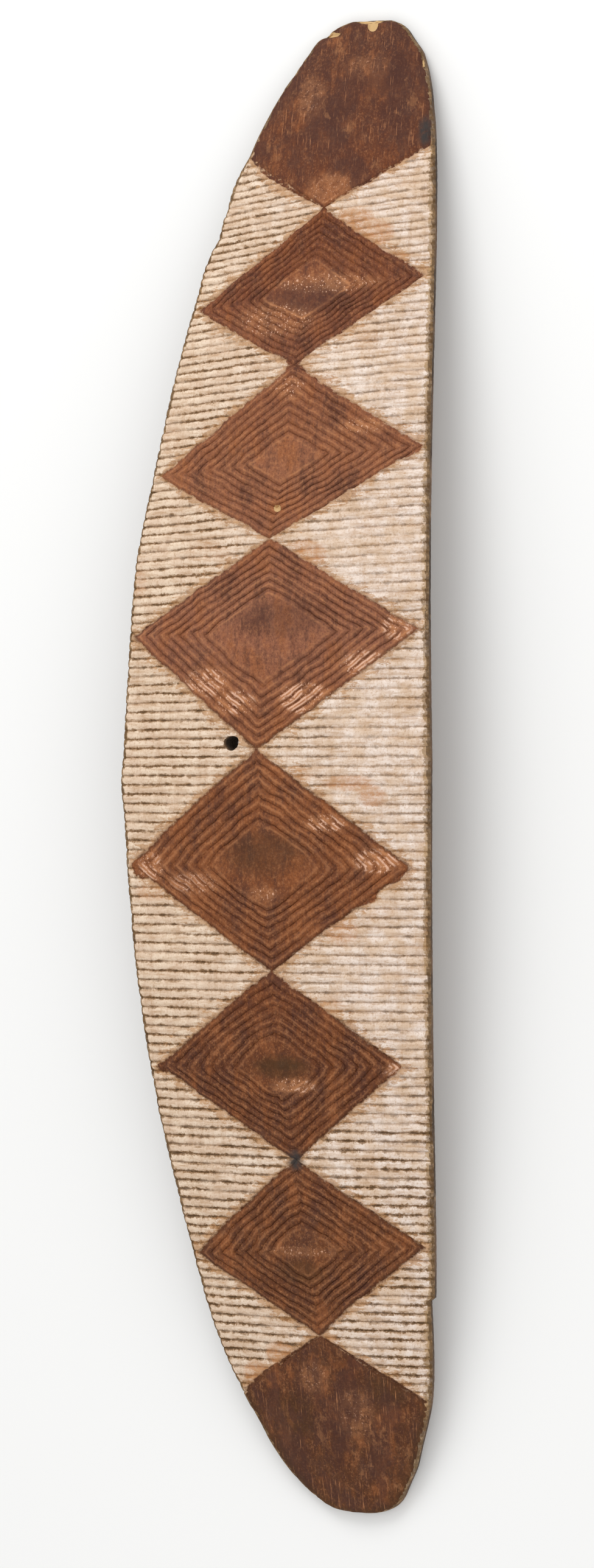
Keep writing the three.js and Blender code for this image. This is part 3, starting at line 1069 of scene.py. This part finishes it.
def loft(name, rings):
    """A closed body through a row of closed rings, with a flat face at each end."""
    rings = np.array(rings)
    count, around, _ = rings.shape
    corner = np.arange(count * around).reshape(count, around)
    after = np.roll(corner, -1, axis=1)
    sides = np.stack([corner[:-1], after[:-1], after[1:], corner[1:]], -1).reshape(-1, 4)
    mesh = bpy.data.meshes.new(name)
    mesh.from_pydata(rings.reshape(-1, 3), [], [*sides.tolist(), corner[0].tolist(), corner[-1].tolist()])
    body = bmesh.new()
    body.from_mesh(mesh)
    bmesh.ops.recalc_face_normals(body, faces=body.faces)
    body.to_mesh(mesh)
    body.free()
    return plain_object(name, mesh)


grip = loft("Grip", [grip_section(y) for y in grip_stations()])
print("grip faces", len(grip.data.polygons))

# %% [markdown]
# The hole was burnt or bored through at a slant, and it opens a little at the front. The tool is a stack of
# uneven rings. A Boolean cuts it out of the board, and another joins the grip, so the shield stays one body.

# %% Bore and Boolean
BORE_SIDES = 36
BORE_SLANT = 0.24
BORE_OVAL = 0.06
BORE_LOBES = 0.05

hole_top = float(front_height(np.array(HOLE[0]), np.array(HOLE[1])))
hole_bottom = float(back_height(np.array(HOLE[0]), np.array(HOLE[1])))


def bore_ring(height, radius):
    turn = np.linspace(0, 2 * math.pi, BORE_SIDES, endpoint=False)
    uneven = radius * (1 + BORE_OVAL * np.sin(2 * turn + 1) + BORE_LOBES * np.sin(3 * turn))
    x = HOLE[0] + SIDEWAYS + BORE_SLANT * (hole_top - height) + uneven * np.cos(turn)
    return np.stack([x, HOLE[1] + uneven * np.sin(turn), np.full_like(turn, height)], -1)


# The level a ring is measured from, how far above it the ring lies, and its share of the hole's radius.
BORE_RINGS = [
    (hole_bottom, -0.010, 0.95), (hole_bottom, -0.001, 0.88), (hole_bottom, 0.002, 0.80),
    (hole_top, -0.0035, 0.96), (hole_top, -0.0012, 1.02), (hole_top, 0.0004, 1.12), (hole_top, 0.010, 1.7),
]
bore = loft("Bore", [bore_ring(level + above, HOLE_RADIUS * share) for level, above, share in BORE_RINGS])

carved = plain_object("Carved", carved_mesh)
for tool, operation in ((grip, "UNION"), (bore, "DIFFERENCE")):
    modifier = carved.modifiers.new(operation.title(), "BOOLEAN")
    modifier.operation = operation
    modifier.object = tool
    modifier.solver = "MANIFOLD"
whole_mesh = bpy.data.meshes.new_from_object(carved.evaluated_get(bpy.context.evaluated_depsgraph_get()))
print("joined", len(whole_mesh.vertices), "vertices,", len(whole_mesh.polygons), "faces")

# %% [markdown]
# The Boolean makes new vertices where surfaces cross, and they know nothing of grooves or paint. Each vertex
# of the joined mesh takes its fields from the nearest vertex of the carved one. A face is painted or bare by
# the same fields.

# %% Carry the fields over
SAME_PLACE = 0.004
BORE_REACH = 1.25
BORE_TOP = 0.0018
BORE_BOTTOM = 0.020
BARE_FROM = 0.75
SHARP_ANGLE = math.radians(65)
CARRIED = ("flute", "ring", "inside", "rim", "behind")

carved_points = read_points(carved_mesh)
lookup = kdtree.KDTree(len(carved_points))
for index, point in enumerate(carved_points):
    lookup.insert(point, index)
lookup.balance()

whole_points = read_points(whole_mesh)
found = [lookup.find(point) for point in whole_points]
nearest = np.array([index for _, index, _ in found])
is_near = np.array([distance for _, _, distance in found]) < SAME_PLACE
whole_x, whole_y, whole_z = whole_points.T
bore_x = HOLE[0] + SIDEWAYS + BORE_SLANT * (hole_top - whole_z)
in_bore = np.hypot(whole_x - bore_x, whole_y - HOLE[1]) < HOLE_RADIUS * BORE_REACH
below = front_height(whole_x - SIDEWAYS, whole_y) - whole_z
in_bore = in_bore & (below > BORE_TOP) & (below < BORE_BOTTOM)
for name in CARRIED:
    values = read_layer(carved_mesh, name)[nearest]
    if name == "behind":
        values = np.where(is_near & ~in_bore, values, 1.0)
    write_field(whole_mesh, name, values)
write_field(whole_mesh, "bored", in_bore)
on_front = 1 - np.clip(read_layer(whole_mesh, "behind"), 0, 1)
for name, spot_list in SPOTS.items():
    write_field(whole_mesh, name, spots(whole_x, whole_y, spot_list) * on_front)

whole_mesh.materials.clear()
whole_mesh.materials.append(clay_and_ochre)
whole_mesh.materials.append(bare_timber)
corners = np.empty(len(whole_mesh.loops), np.int32)
whole_mesh.loops.foreach_get("vertex_index", corners)
starts = np.empty(len(whole_mesh.polygons), np.int32)
whole_mesh.polygons.foreach_get("loop_start", starts)
behind = read_layer(whole_mesh, "behind")[corners]
face_behind = np.maximum.reduceat(behind, starts)
whole_mesh.polygons.foreach_set("material_index", (face_behind > BARE_FROM).astype(np.int32))
whole_mesh.polygons.foreach_set("use_smooth", np.ones(len(whole_mesh.polygons), bool))
whole_mesh.set_sharp_from_angle(angle=SHARP_ANGLE)
for spare in (blank, carved, grip, bore):
    bpy.data.objects.remove(spare)
shield = plain_object("Shield", whole_mesh)
triangles = sum(len(face.vertices) - 2 for face in whole_mesh.polygons)
print("shield has", triangles, "triangles")

# %% [markdown]
# ## Finishes
#
# Two finishes cover the shield. The front has white clay in and over the flutes, and red-brown ochre rubbed
# over the diamonds and ends. The sides, the back, the grip and the hole are old bare timber. Both need wood
# grain, blotches and dust, so those are shader node groups, built once and used in each with their own
# values.

# %% Shader helpers
def tint(red, green, blue):
    """A colour as a paint chart gives it, 0 to 255, turned into light values."""
    parts = [value / 255 for value in (red, green, blue)]
    return tuple(p / 12.92 if p <= 0.04045 else ((p + 0.055) / 1.055) ** 2.4 for p in parts) + (1.0,)


def blend(amount, under, over):
    node = add_node("ShaderNodeMix", data_type="RGBA", blend_type="MIX")
    for number, value in ((0, amount), (6, under), (7, over)):
        feed(node.inputs[number], value)
    return node.outputs[2]


def coats(colour, *layers):
    """Lays coats over a colour, one after another: each is how much of it shows, and its own colour."""
    for amount, coat in layers:
        colour = blend(amount, colour, coat)
    return colour


def use_group(group, inputs):
    node = add_node("ShaderNodeGroup", node_tree=group)
    for name, value in inputs.items():
        feed(node.inputs[name], value)
    return node.outputs


print("shader helpers ready")

# %% [markdown]
# Grain is noise drawn out along the length of the wood. Patches are soft-edged islands of noise. Dust is
# patches of specks in one colour. Each group takes a place and gives a mask or a colour.

# %% Wood grain group
grain_inputs = {"Vector": "Vector", "Lines Per Metre": 420.0, "Run": 0.05, "Seed": 1.0}
grain_outputs = {"Grain": "Float", "Pores": "Float"}
wood_grain, given, result = new_group("Wood Grain", "ShaderNodeTree", grain_inputs, grain_outputs)
lines = given["Lines Per Metre"]
along_grain = add_node("ShaderNodeCombineXYZ", {"X": lines, "Y": times(lines, given["Run"]), "Z": lines})
grain_place = vector_maths("MULTIPLY", given["Vector"], along_grain.outputs[0])
bands = noise_node(grain_place, given["Seed"], 4.0, 0.6)[0]
feed(result["Grain"], ramp(bands, 0.3, 0.7))
pores = noise_node(vector_maths("MULTIPLY", grain_place, (3.0, 2.0, 3.0)), given["Seed"], 2.0)[0]
feed(result["Pores"], ease(pores, 0.58, 0.72))
print("wood grain group", len(wood_grain.nodes), "nodes")

# %% Patches group
patch_inputs = {"Vector": "Vector", "Per Metre": 60.0, "Threshold": 0.5, "Softness": 0.1, "Seed": 2.0}
patches, given, result = new_group("Patches", "ShaderNodeTree", patch_inputs, {"Mask": "Float"})
patch_noise = noise_node(scaled(given["Vector"], given["Per Metre"]), given["Seed"], 5.0, 0.6)[0]
patch_low = minus(given["Threshold"], given["Softness"])
patch_high = add(given["Threshold"], given["Softness"])
feed(result["Mask"], ease(patch_noise, patch_low, patch_high))
print("patches group", len(patches.nodes), "nodes")

# %% Dust group
dust_inputs = {
    "Colour": (0.5, 0.5, 0.5, 1),
    "Dust": tint(150, 134, 116),
    "Vector": "Vector",
    "Amount": 0.3,
    "Seed": 5.0,
}
dust_outputs = {"Colour": "Color", "Mask": "Float"}
dusting, given, result = new_group("Dusting", "ShaderNodeTree", dust_inputs, dust_outputs)
dust_patch, dust_speck = (
    use_group(patches, {"Vector": given["Vector"], "Per Metre": per_metre, "Softness": 0.2})["Mask"]
    for per_metre in (70.0, 700.0)
)
dust_mask = times(dust_patch, dust_speck, given["Amount"])
feed(result["Colour"], blend(dust_mask, given["Colour"], given["Dust"]))
feed(result["Mask"], dust_mask)
print("dusting group", len(dusting.nodes), "nodes")

# %% [markdown]
# Every finish starts from the same things: where a point is on the shield, and the marks that were written at
# the vertices. Every finish ends the same way too, with dust over the colour and fine bumps.

# %% Start of a finish
def start_finish(material, marks):
    """Opens a material's tree and gives its shader, the place, the place's three parts, and its marks."""
    material.use_nodes = True
    shader = open_tree(material.node_tree).nodes["Principled BSDF"]
    place = add_node("ShaderNodeTexCoord").outputs["Object"]
    split = add_node("ShaderNodeSeparateXYZ", {"Vector": place}).outputs
    found = {name: add_node("ShaderNodeAttribute", attribute_name=name).outputs["Fac"] for name in marks}
    return shader, place, split, found


def patch(per_metre, threshold, softness, seed):
    inputs = {"Per Metre": per_metre, "Threshold": threshold, "Softness": softness, "Seed": seed}
    return use_group(patches, {"Vector": place, **inputs})["Mask"]


def grain(lines, run, seed):
    return use_group(wood_grain, {"Vector": place, "Lines Per Metre": lines, "Run": run, "Seed": seed})


def finish_shader(colour, dust, roughness, height, gloss, strength, distance):
    """Dusts the colour and joins colour, roughness and bumps to the shader."""
    dusted = use_group(dusting, {"Colour": colour, "Vector": place, **dust})
    bump = add_node("ShaderNodeBump", {"Height": height, "Strength": strength, "Distance": distance})
    feed(shader.inputs["Base Color"], dusted["Colour"])
    feed(shader.inputs["Roughness"], roughness)
    feed(shader.inputs["Normal"], bump.outputs[0])
    shader.inputs["Specular IOR Level"].default_value = gloss


FRONT_MARKS = ("flute", "ring", "inside", "rim", *SPOTS)
shader, place, split, mark = start_finish(clay_and_ochre, FRONT_MARKS)
print("marks read by the paint", FRONT_MARKS)

# %% [markdown]
# The clay is nearly white on the ridges and thin over the wood elsewhere. In the bottoms of the flutes it has
# fallen out and left dark, broken lines. Towards the right the lines are fainter, because the clay there was
# laid on thicker and smeared.

# %% Clay
CLAY_WARM = tint(236, 214, 190)
CLAY_WHITE = tint(240, 224, 212)
CLAY_THIN = tint(222, 196, 172)
CLAY_STAINED = tint(180, 142, 106)
FLUTE_BROWN = tint(140, 104, 66)
FLUTE_DARK = tint(80, 56, 34)

smears = noise((60, 420, 60), 3, 5, 0.75)
columns = noise((260, 22, 100), 8, 3, 0.6)
grit = noise((900, 700, 900), 6, 2, 0.6)
clay = coats(
    blend(ramp(split["X"], -0.06, 0.06), CLAY_WARM, CLAY_WHITE),
    (patch(90, 0.50, 0.14, 1), CLAY_THIN),
    (ramp(smears, 0.47, 0.70, 0, 0.85), CLAY_STAINED),
    (ramp(columns, 0.50, 0.72, 0, 0.35), CLAY_STAINED),
    (ramp(grit, 0.52, 0.70, 0, 0.55), CLAY_STAINED),
)

beads = noise((230, 260, 230), 7, 4, 0.8)
gaps = noise((36, 120, 36), 2, 3, 0.6)
near_foot = ramp(split["Y"], -0.14, -0.22)
uncovered = larger(ramp(split["X"], -0.03, 0.05, 1, 0.62), near_foot)
kept = minus(1, mark["filled"], clamp=True)
laid_bare = times(uncovered, kept, ramp(gaps, 0.36, 0.54, 0.22, 1))
line_edge = times(ramp(beads, 0.32, 0.68, 0, 0.0022), ramp(near_foot, 0, 1, 1, 1.22))
in_line = minus(line_edge, mark["flute"])
clay = coats(
    clay,
    (times(ramp(in_line, 0, 0.0006), laid_bare, 0.85), FLUTE_BROWN),
    (times(ramp(in_line, 0.0007, 0.0014), laid_bare, 0.8), FLUTE_DARK),
)
print("clay nodes", len(desk.nodes))

# %% [markdown]
# The ochre's colour is set along the shield, diamond by diamond: darkest at both ends and brightest just
# towards the head from the middle. It is cloudy at three sizes: broad rubbed areas, mottling, and grit. A few
# places are paler or darker than the rest.

# %% Ochre
OCHRES = {
    -0.44: (88, 52, 30), -0.35: (84, 48, 27), -0.30: (102, 58, 31), -0.24: (100, 56, 30),
    -0.18: (96, 52, 27), -0.12: (112, 62, 33), 0.00: (134, 78, 44), 0.07: (144, 92, 68),
    0.18: (146, 92, 64), 0.28: (122, 70, 46), 0.34: (104, 56, 32), 0.43: (88, 50, 34),
}
PLUM = tint(74, 44, 36)
OLIVE = tint(70, 46, 24)
ORANGE = tint(152, 90, 50)
SCRAPED = tint(164, 112, 74)
TAN = tint(196, 134, 90)
PINK = tint(236, 190, 162)
RING_SHADE = tint(76, 38, 20)

hues = add_node("ShaderNodeValToRGB", {"Fac": ramp(split["Y"], -HALF, HALF)})
stops = hues.color_ramp.elements
for number, (y, colour) in enumerate(OCHRES.items()):
    stop = stops[number] if number < 2 else stops.new((y + HALF) / LENGTH)
    stop.position = (y + HALF) / LENGTH
    stop.color = tint(*colour)

streaks = grain(lines=420, run=0.10, seed=2)["Grain"]
rubbed = noise((70, 34, 70), 3, 5, 0.7)
mottle = noise((420, 340, 420), 4, 4, 0.8)
at_ends = ease(size_of(split["Y"]), 0.332, 0.350)
calmer = ramp(at_ends, 0, 1, 1, 0.45)
# A dark ochre colour, for the darker places and for the painted shade along the rims of the head and foot.
shade = blend(ramp(split["Y"], -0.10, 0.10), OLIVE, PLUM)
ochre = coats(
    hues.outputs["Color"],
    (ramp(rubbed, 0.50, 0.62, 0, 0.60), PLUM),
    (ramp(rubbed, 0.49, 0.38, 0, 0.55), ORANGE),
    (ramp(streaks, 0.55, 1, 0, 0.45), PLUM),
    (ramp(streaks, 0.40, 0, 0, 0.22), ORANGE),
    (times(calmer, ramp(mottle, 0.52, 0.64, 0, 0.35)), TAN),
    (times(calmer, ramp(mottle, 0.48, 0.38, 0, 0.40)), PLUM),
    (ramp(grit, 0.56, 0.72, 0, 0.30), TAN),
    (ramp(grit, 0.46, 0.30, 0, 0.50), PLUM),
    (times(mark["pale"], ramp(beads, 0.36, 0.56), 0.6), TAN),
    (times(mark["dark"], ramp(gaps, 0.30, 0.50, 0.4, 0.8)), shade),
)
print("ochre nodes", len(desk.nodes))

# %% [markdown]
# The plain head and foot are smudged, darker along their rims, which is painted shade where the surface
# rounds away, and scored by fine scratches that run up and down, some dark and some pale, where the wood was
# scraped smooth and handled.

# %% Scratches at both ends
smudges = noise((62, 30, 60), 4, 4, 0.6)
scrapes = noise((110, 70, 60), 6.5, 5, 0.75)
scratches = noise((1100, 70, 60), 5, 3, 0.65)
scored = times(add(times(at_ends, 0.8), 0.2), ramp(gaps, 0.40, 0.54, 0.1, 1))
ochre = coats(
    ochre,
    (times(at_ends, ramp(smudges, 0.50, 0.57), 0.60), PLUM),
    # Darker along the rims of the head and foot: painted shade where the surface rounds away.
    (times(at_ends, ease(mark["rim"], 0.0085, 0.0010), 0.55), shade),
    (times(at_ends, ramp(scrapes, 0.57, 0.63), ramp(beads, 0.36, 0.56, 0.15, 0.42)), SCRAPED),
    (times(scored, ramp(scratches, 0.59, 0.66), 0.50), TAN),
    (times(scored, ramp(scratches, 0.42, 0.34), 0.50), PLUM),
)
print("scratches added")

# %% [markdown]
# A ring's groove is darkened in its bottom, which is painted shade, and the ridges between grooves are
# lighter, partly rubbed wear and partly painted highlight. Both come and go along a ring. Where the ridges
# are palest, short pink marks beside the grooves are painted highlights, and elsewhere pale clay shows
# through as flecks.

# %% Grooves and ridges of the rings
in_rings = times(ease(mark["inside"], -0.0001, 0.0010), ramp(at_ends, 0, 1, 1, 0))
lower_rings = ramp(split["Y"], 0.02, -0.08)

# Lighter ridges between the ring grooves: partly rubbed wear, partly a painted highlight.
wear_and_highlight = add(ramp(gaps, 0.40, 0.60, 0.15, 0.85), times(mark["pale"], 0.6))
past_groove = minus(mark["ring"], ramp(beads, 0.30, 0.70, 0.0019, 0.0011))
crest_wear_and_highlight = times(ramp(past_groove, 0, 0.0007), ease(mark["ring"], 0.0036, 0.0024), in_rings, wear_and_highlight)
crest_wear_and_highlight = times(crest_wear_and_highlight, ramp(lower_rings, 0, 1, 0.50, 0.34))

# The bottoms of the ring grooves are darkened: painted shade.
in_groove = ramp(minus(ramp(beads, 0.30, 0.66, 0.0001, 0.0011), mark["ring"]), -0.0012, 0.0008)
ring_groove_shade = times(in_groove, in_rings, ramp(gaps, 0.36, 0.60, 0.60, 0.12))
ring_groove_shade = times(ring_groove_shade, ramp(split["Y"], 0.05, 0.20, 1, 0.60), ramp(lower_rings, 0, 1, 1, 0.62))

long_gaps = noise((120, 120, 120), 5, 3, 0.6)
# Short pale pink marks on the ridges beside the grooves: painted highlights.
highlight_band = times(ease(mark["ring"], 0.0007, 0.0011), ease(mark["ring"], 0.0021, 0.0015), in_rings)
ridge_highlights = times(highlight_band, ease(mark["pale"], 0.30, 0.75), ramp(long_gaps, 0.46, 0.54), 0.75)
ridge_highlights = times(ridge_highlights, ramp(split["Y"], 0.16, 0.12), ramp(split["Y"], -0.25, -0.21))
flecks = times(ease(grit, 0.60, 0.66), ease(mark["pale"], 0.15, 0.6), ramp(at_ends, 0, 1, 0.85, 0.25))
ochre = coats(ochre, (crest_wear_and_highlight, TAN), (ring_groove_shade, RING_SHADE), (ridge_highlights, PINK), (flecks, PINK))
print("rings painted, nodes", len(desk.nodes))

# %% [markdown]
# The ochre's edge is ragged. Outside it the clay is stained by a thin halo, by smears that ran into the
# flutes, and by blots. Just along the edge, towards the foot, the ochre has dried to a dark border.

# %% Where ochre meets clay
HALO = tint(188, 142, 98)
HALO_DARK = tint(146, 100, 60)
BLOT = tint(188, 132, 86)
BORDER = tint(84, 46, 22)

ragged = noise((300, 300, 300), 2, 4, 0.75)
run_over = times(mark["spilt"], ramp(mottle, 0.35, 0.60, 0.0035, 0.0105))
edge_place = add(add(mark["inside"], ramp(ragged, 0.25, 0.75, -0.0013, 0.0013)), run_over)

smear = noise((130, 430, 130), 9, 5, 0.8)
smear_reach = times(ramp(smear, 0.42, 0.64), ramp(rubbed, 0.36, 0.60, 0.0030, 0.0115))
wide_halo = times(ease(add(edge_place, smear_reach), -0.0005, 0.0006), 0.70)
halo = larger(wide_halo, times(ease(edge_place, -0.0024, 0), 0.55))
halo_colour = blend(ramp(beads, 0.46, 0.64), HALO, HALO_DARK)

blot_edge = add(add(times(mark["blot"], 0.45), times(smears, 0.45)), times(ragged, 0.45))
blot = times(ease(blot_edge, 0.56, 0.90), ease(mark["blot"], 0, 0.7), ramp(mottle, 0.40, 0.58, 0.45, 1))
blot = times(blot, add(times(ease(mark["flute"], 0.0020, 0.0004), 0.20), 0.62))

on_ochre = ease(edge_place, -0.0004, 0.0004)
border = times(ease(edge_place, -0.0013, 0), ease(edge_place, 0.0016, 0))
border = times(border, ramp(gaps, 0.38, 0.56, 0.25, 0.90), ramp(split["Y"], 0, 0.16, 0.85, 0.15))
front = coats(clay, (halo, halo_colour), (blot, BLOT), (on_ochre, ochre), (border, BORDER))
print("edges painted, nodes", len(desk.nodes))

# %% [markdown]
# Along the rim the clay has rubbed off down to tan and brown wood, in a wider strip on the right. On the
# head and foot the rim is only darker, and pale at a few chips. The ochre has a little gloss, the clay none.

# %% Rim, chips and knots
PALE_WOOD = tint(206, 170, 120)
RIM_TAN = tint(170, 136, 92)
RIM_BROWN = tint(112, 84, 50)
RIM_DARK = tint(58, 40, 24)
KNOT_GREY = tint(60, 54, 52)
CLAY_ROUGHNESS = 0.95

strip_end = ramp(ramp(split["X"], -0.02, 0.02), 0, 1, 0.0011, 0.0032)
strip_end = times(strip_end, ramp(beads, 0.32, 0.66, 0.3, 1.6))
strip = times(ramp(minus(strip_end, mark["rim"]), -0.0002, 0.0008), ramp(on_ochre, 0, 1, 0.70, 0))
front = coats(
    front,
    (strip, blend(ramp(gaps, 0.4, 0.6), RIM_TAN, RIM_BROWN)),
    (times(ease(mark["rim"], 0.0007, 0), ramp(ragged, 0.36, 0.52, 0.2, 0.65)), RIM_DARK),
    (ease(add(mark["broken"], times(ragged, 0.3)), 0.5, 0.7), PALE_WOOD),
    (times(mark["knot"], ramp(ragged, 0.35, 0.5, 0.5, 1)), KNOT_GREY),
)
matt = add_node("ShaderNodeMix", data_type="FLOAT")
for number, value in ((0, on_ochre), (2, CLAY_ROUGHNESS), (3, ramp(ragged, 0.3, 0.7, 0.62, 0.80))):
    feed(matt.inputs[number], value)
height = add(add(times(grit, 0.5), times(streaks, 0.3)), times(beads, 0.8))
finish_shader(front, {"Amount": 0.06}, matt.outputs[0], height, gloss=0.14, strength=0.6, distance=0.0008)
print("painted finish has", len(desk.nodes), "nodes")

# %% [markdown]
# The timber of the sides and back is brown and dry. Hands have darkened the grip. Along the rim the sides are
# darker, near black in patches, which is painted shade, and the corners of the rim are rubbed pale in places.

# %% Bare timber
TIMBER = tint(134, 98, 66)
TIMBER_DARK = tint(74, 50, 32)
TIMBER_PALE = tint(176, 144, 110)
HAND_DARK = tint(84, 56, 36)
SIDE_SHADE_BLACK = tint(38, 26, 18)
HOLE_SHADE = tint(26, 17, 11)

shader, place, split, mark = start_finish(bare_timber, ("rim", "bored"))
broad = grain(lines=60, run=0.06, seed=1)
fine = grain(lines=420, run=0.04, seed=3)
at_rim = ease(mark["rim"], 0.004, 0)
in_hand = times(
    ease(split["Z"], 0.034, 0.020),
    ease(size_of(split["Y"]), 0.10, 0.06),
    ease(size_of(split["X"]), 0.030, 0.020),
)
timber = coats(
    TIMBER,
    (times(broad["Grain"], 0.6), TIMBER_DARK),
    (times(fine["Grain"], 0.35), TIMBER_PALE),
    (times(fine["Pores"], 0.7), TIMBER_DARK),
    (times(patch(30, 0.52, 0.12, 2), 0.45), TIMBER_DARK),
    # The sides along the rim are darkened, near black in patches: painted shade.
    (times(at_rim, 0.65), TIMBER_DARK),
    (times(at_rim, patch(28, 0.50, 0.08, 5), 0.8), SIDE_SHADE_BLACK),
    (times(at_rim, patch(40, 0.62, 0.05, 7), 0.7), TIMBER_PALE),
    (times(in_hand, 0.7), HAND_DARK),
    # The inside of the hole is painted nearly black: painted shade.
    (times(mark["bored"], 0.92), HOLE_SHADE),
)
height = add(times(fine["Grain"], 0.7), times(fine["Pores"], -0.6))
matt = ramp(in_hand, 0, 1, 0.78, 0.45)
timber_dust = {"Amount": 0.35, "Seed": 3}
finish_shader(timber, timber_dust, matt, height, gloss=0.35, strength=0.5, distance=0.0006)
print("bare timber has", len(desk.nodes), "nodes")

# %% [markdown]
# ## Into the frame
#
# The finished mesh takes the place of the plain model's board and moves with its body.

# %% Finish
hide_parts("shield")
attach(shield, "root")
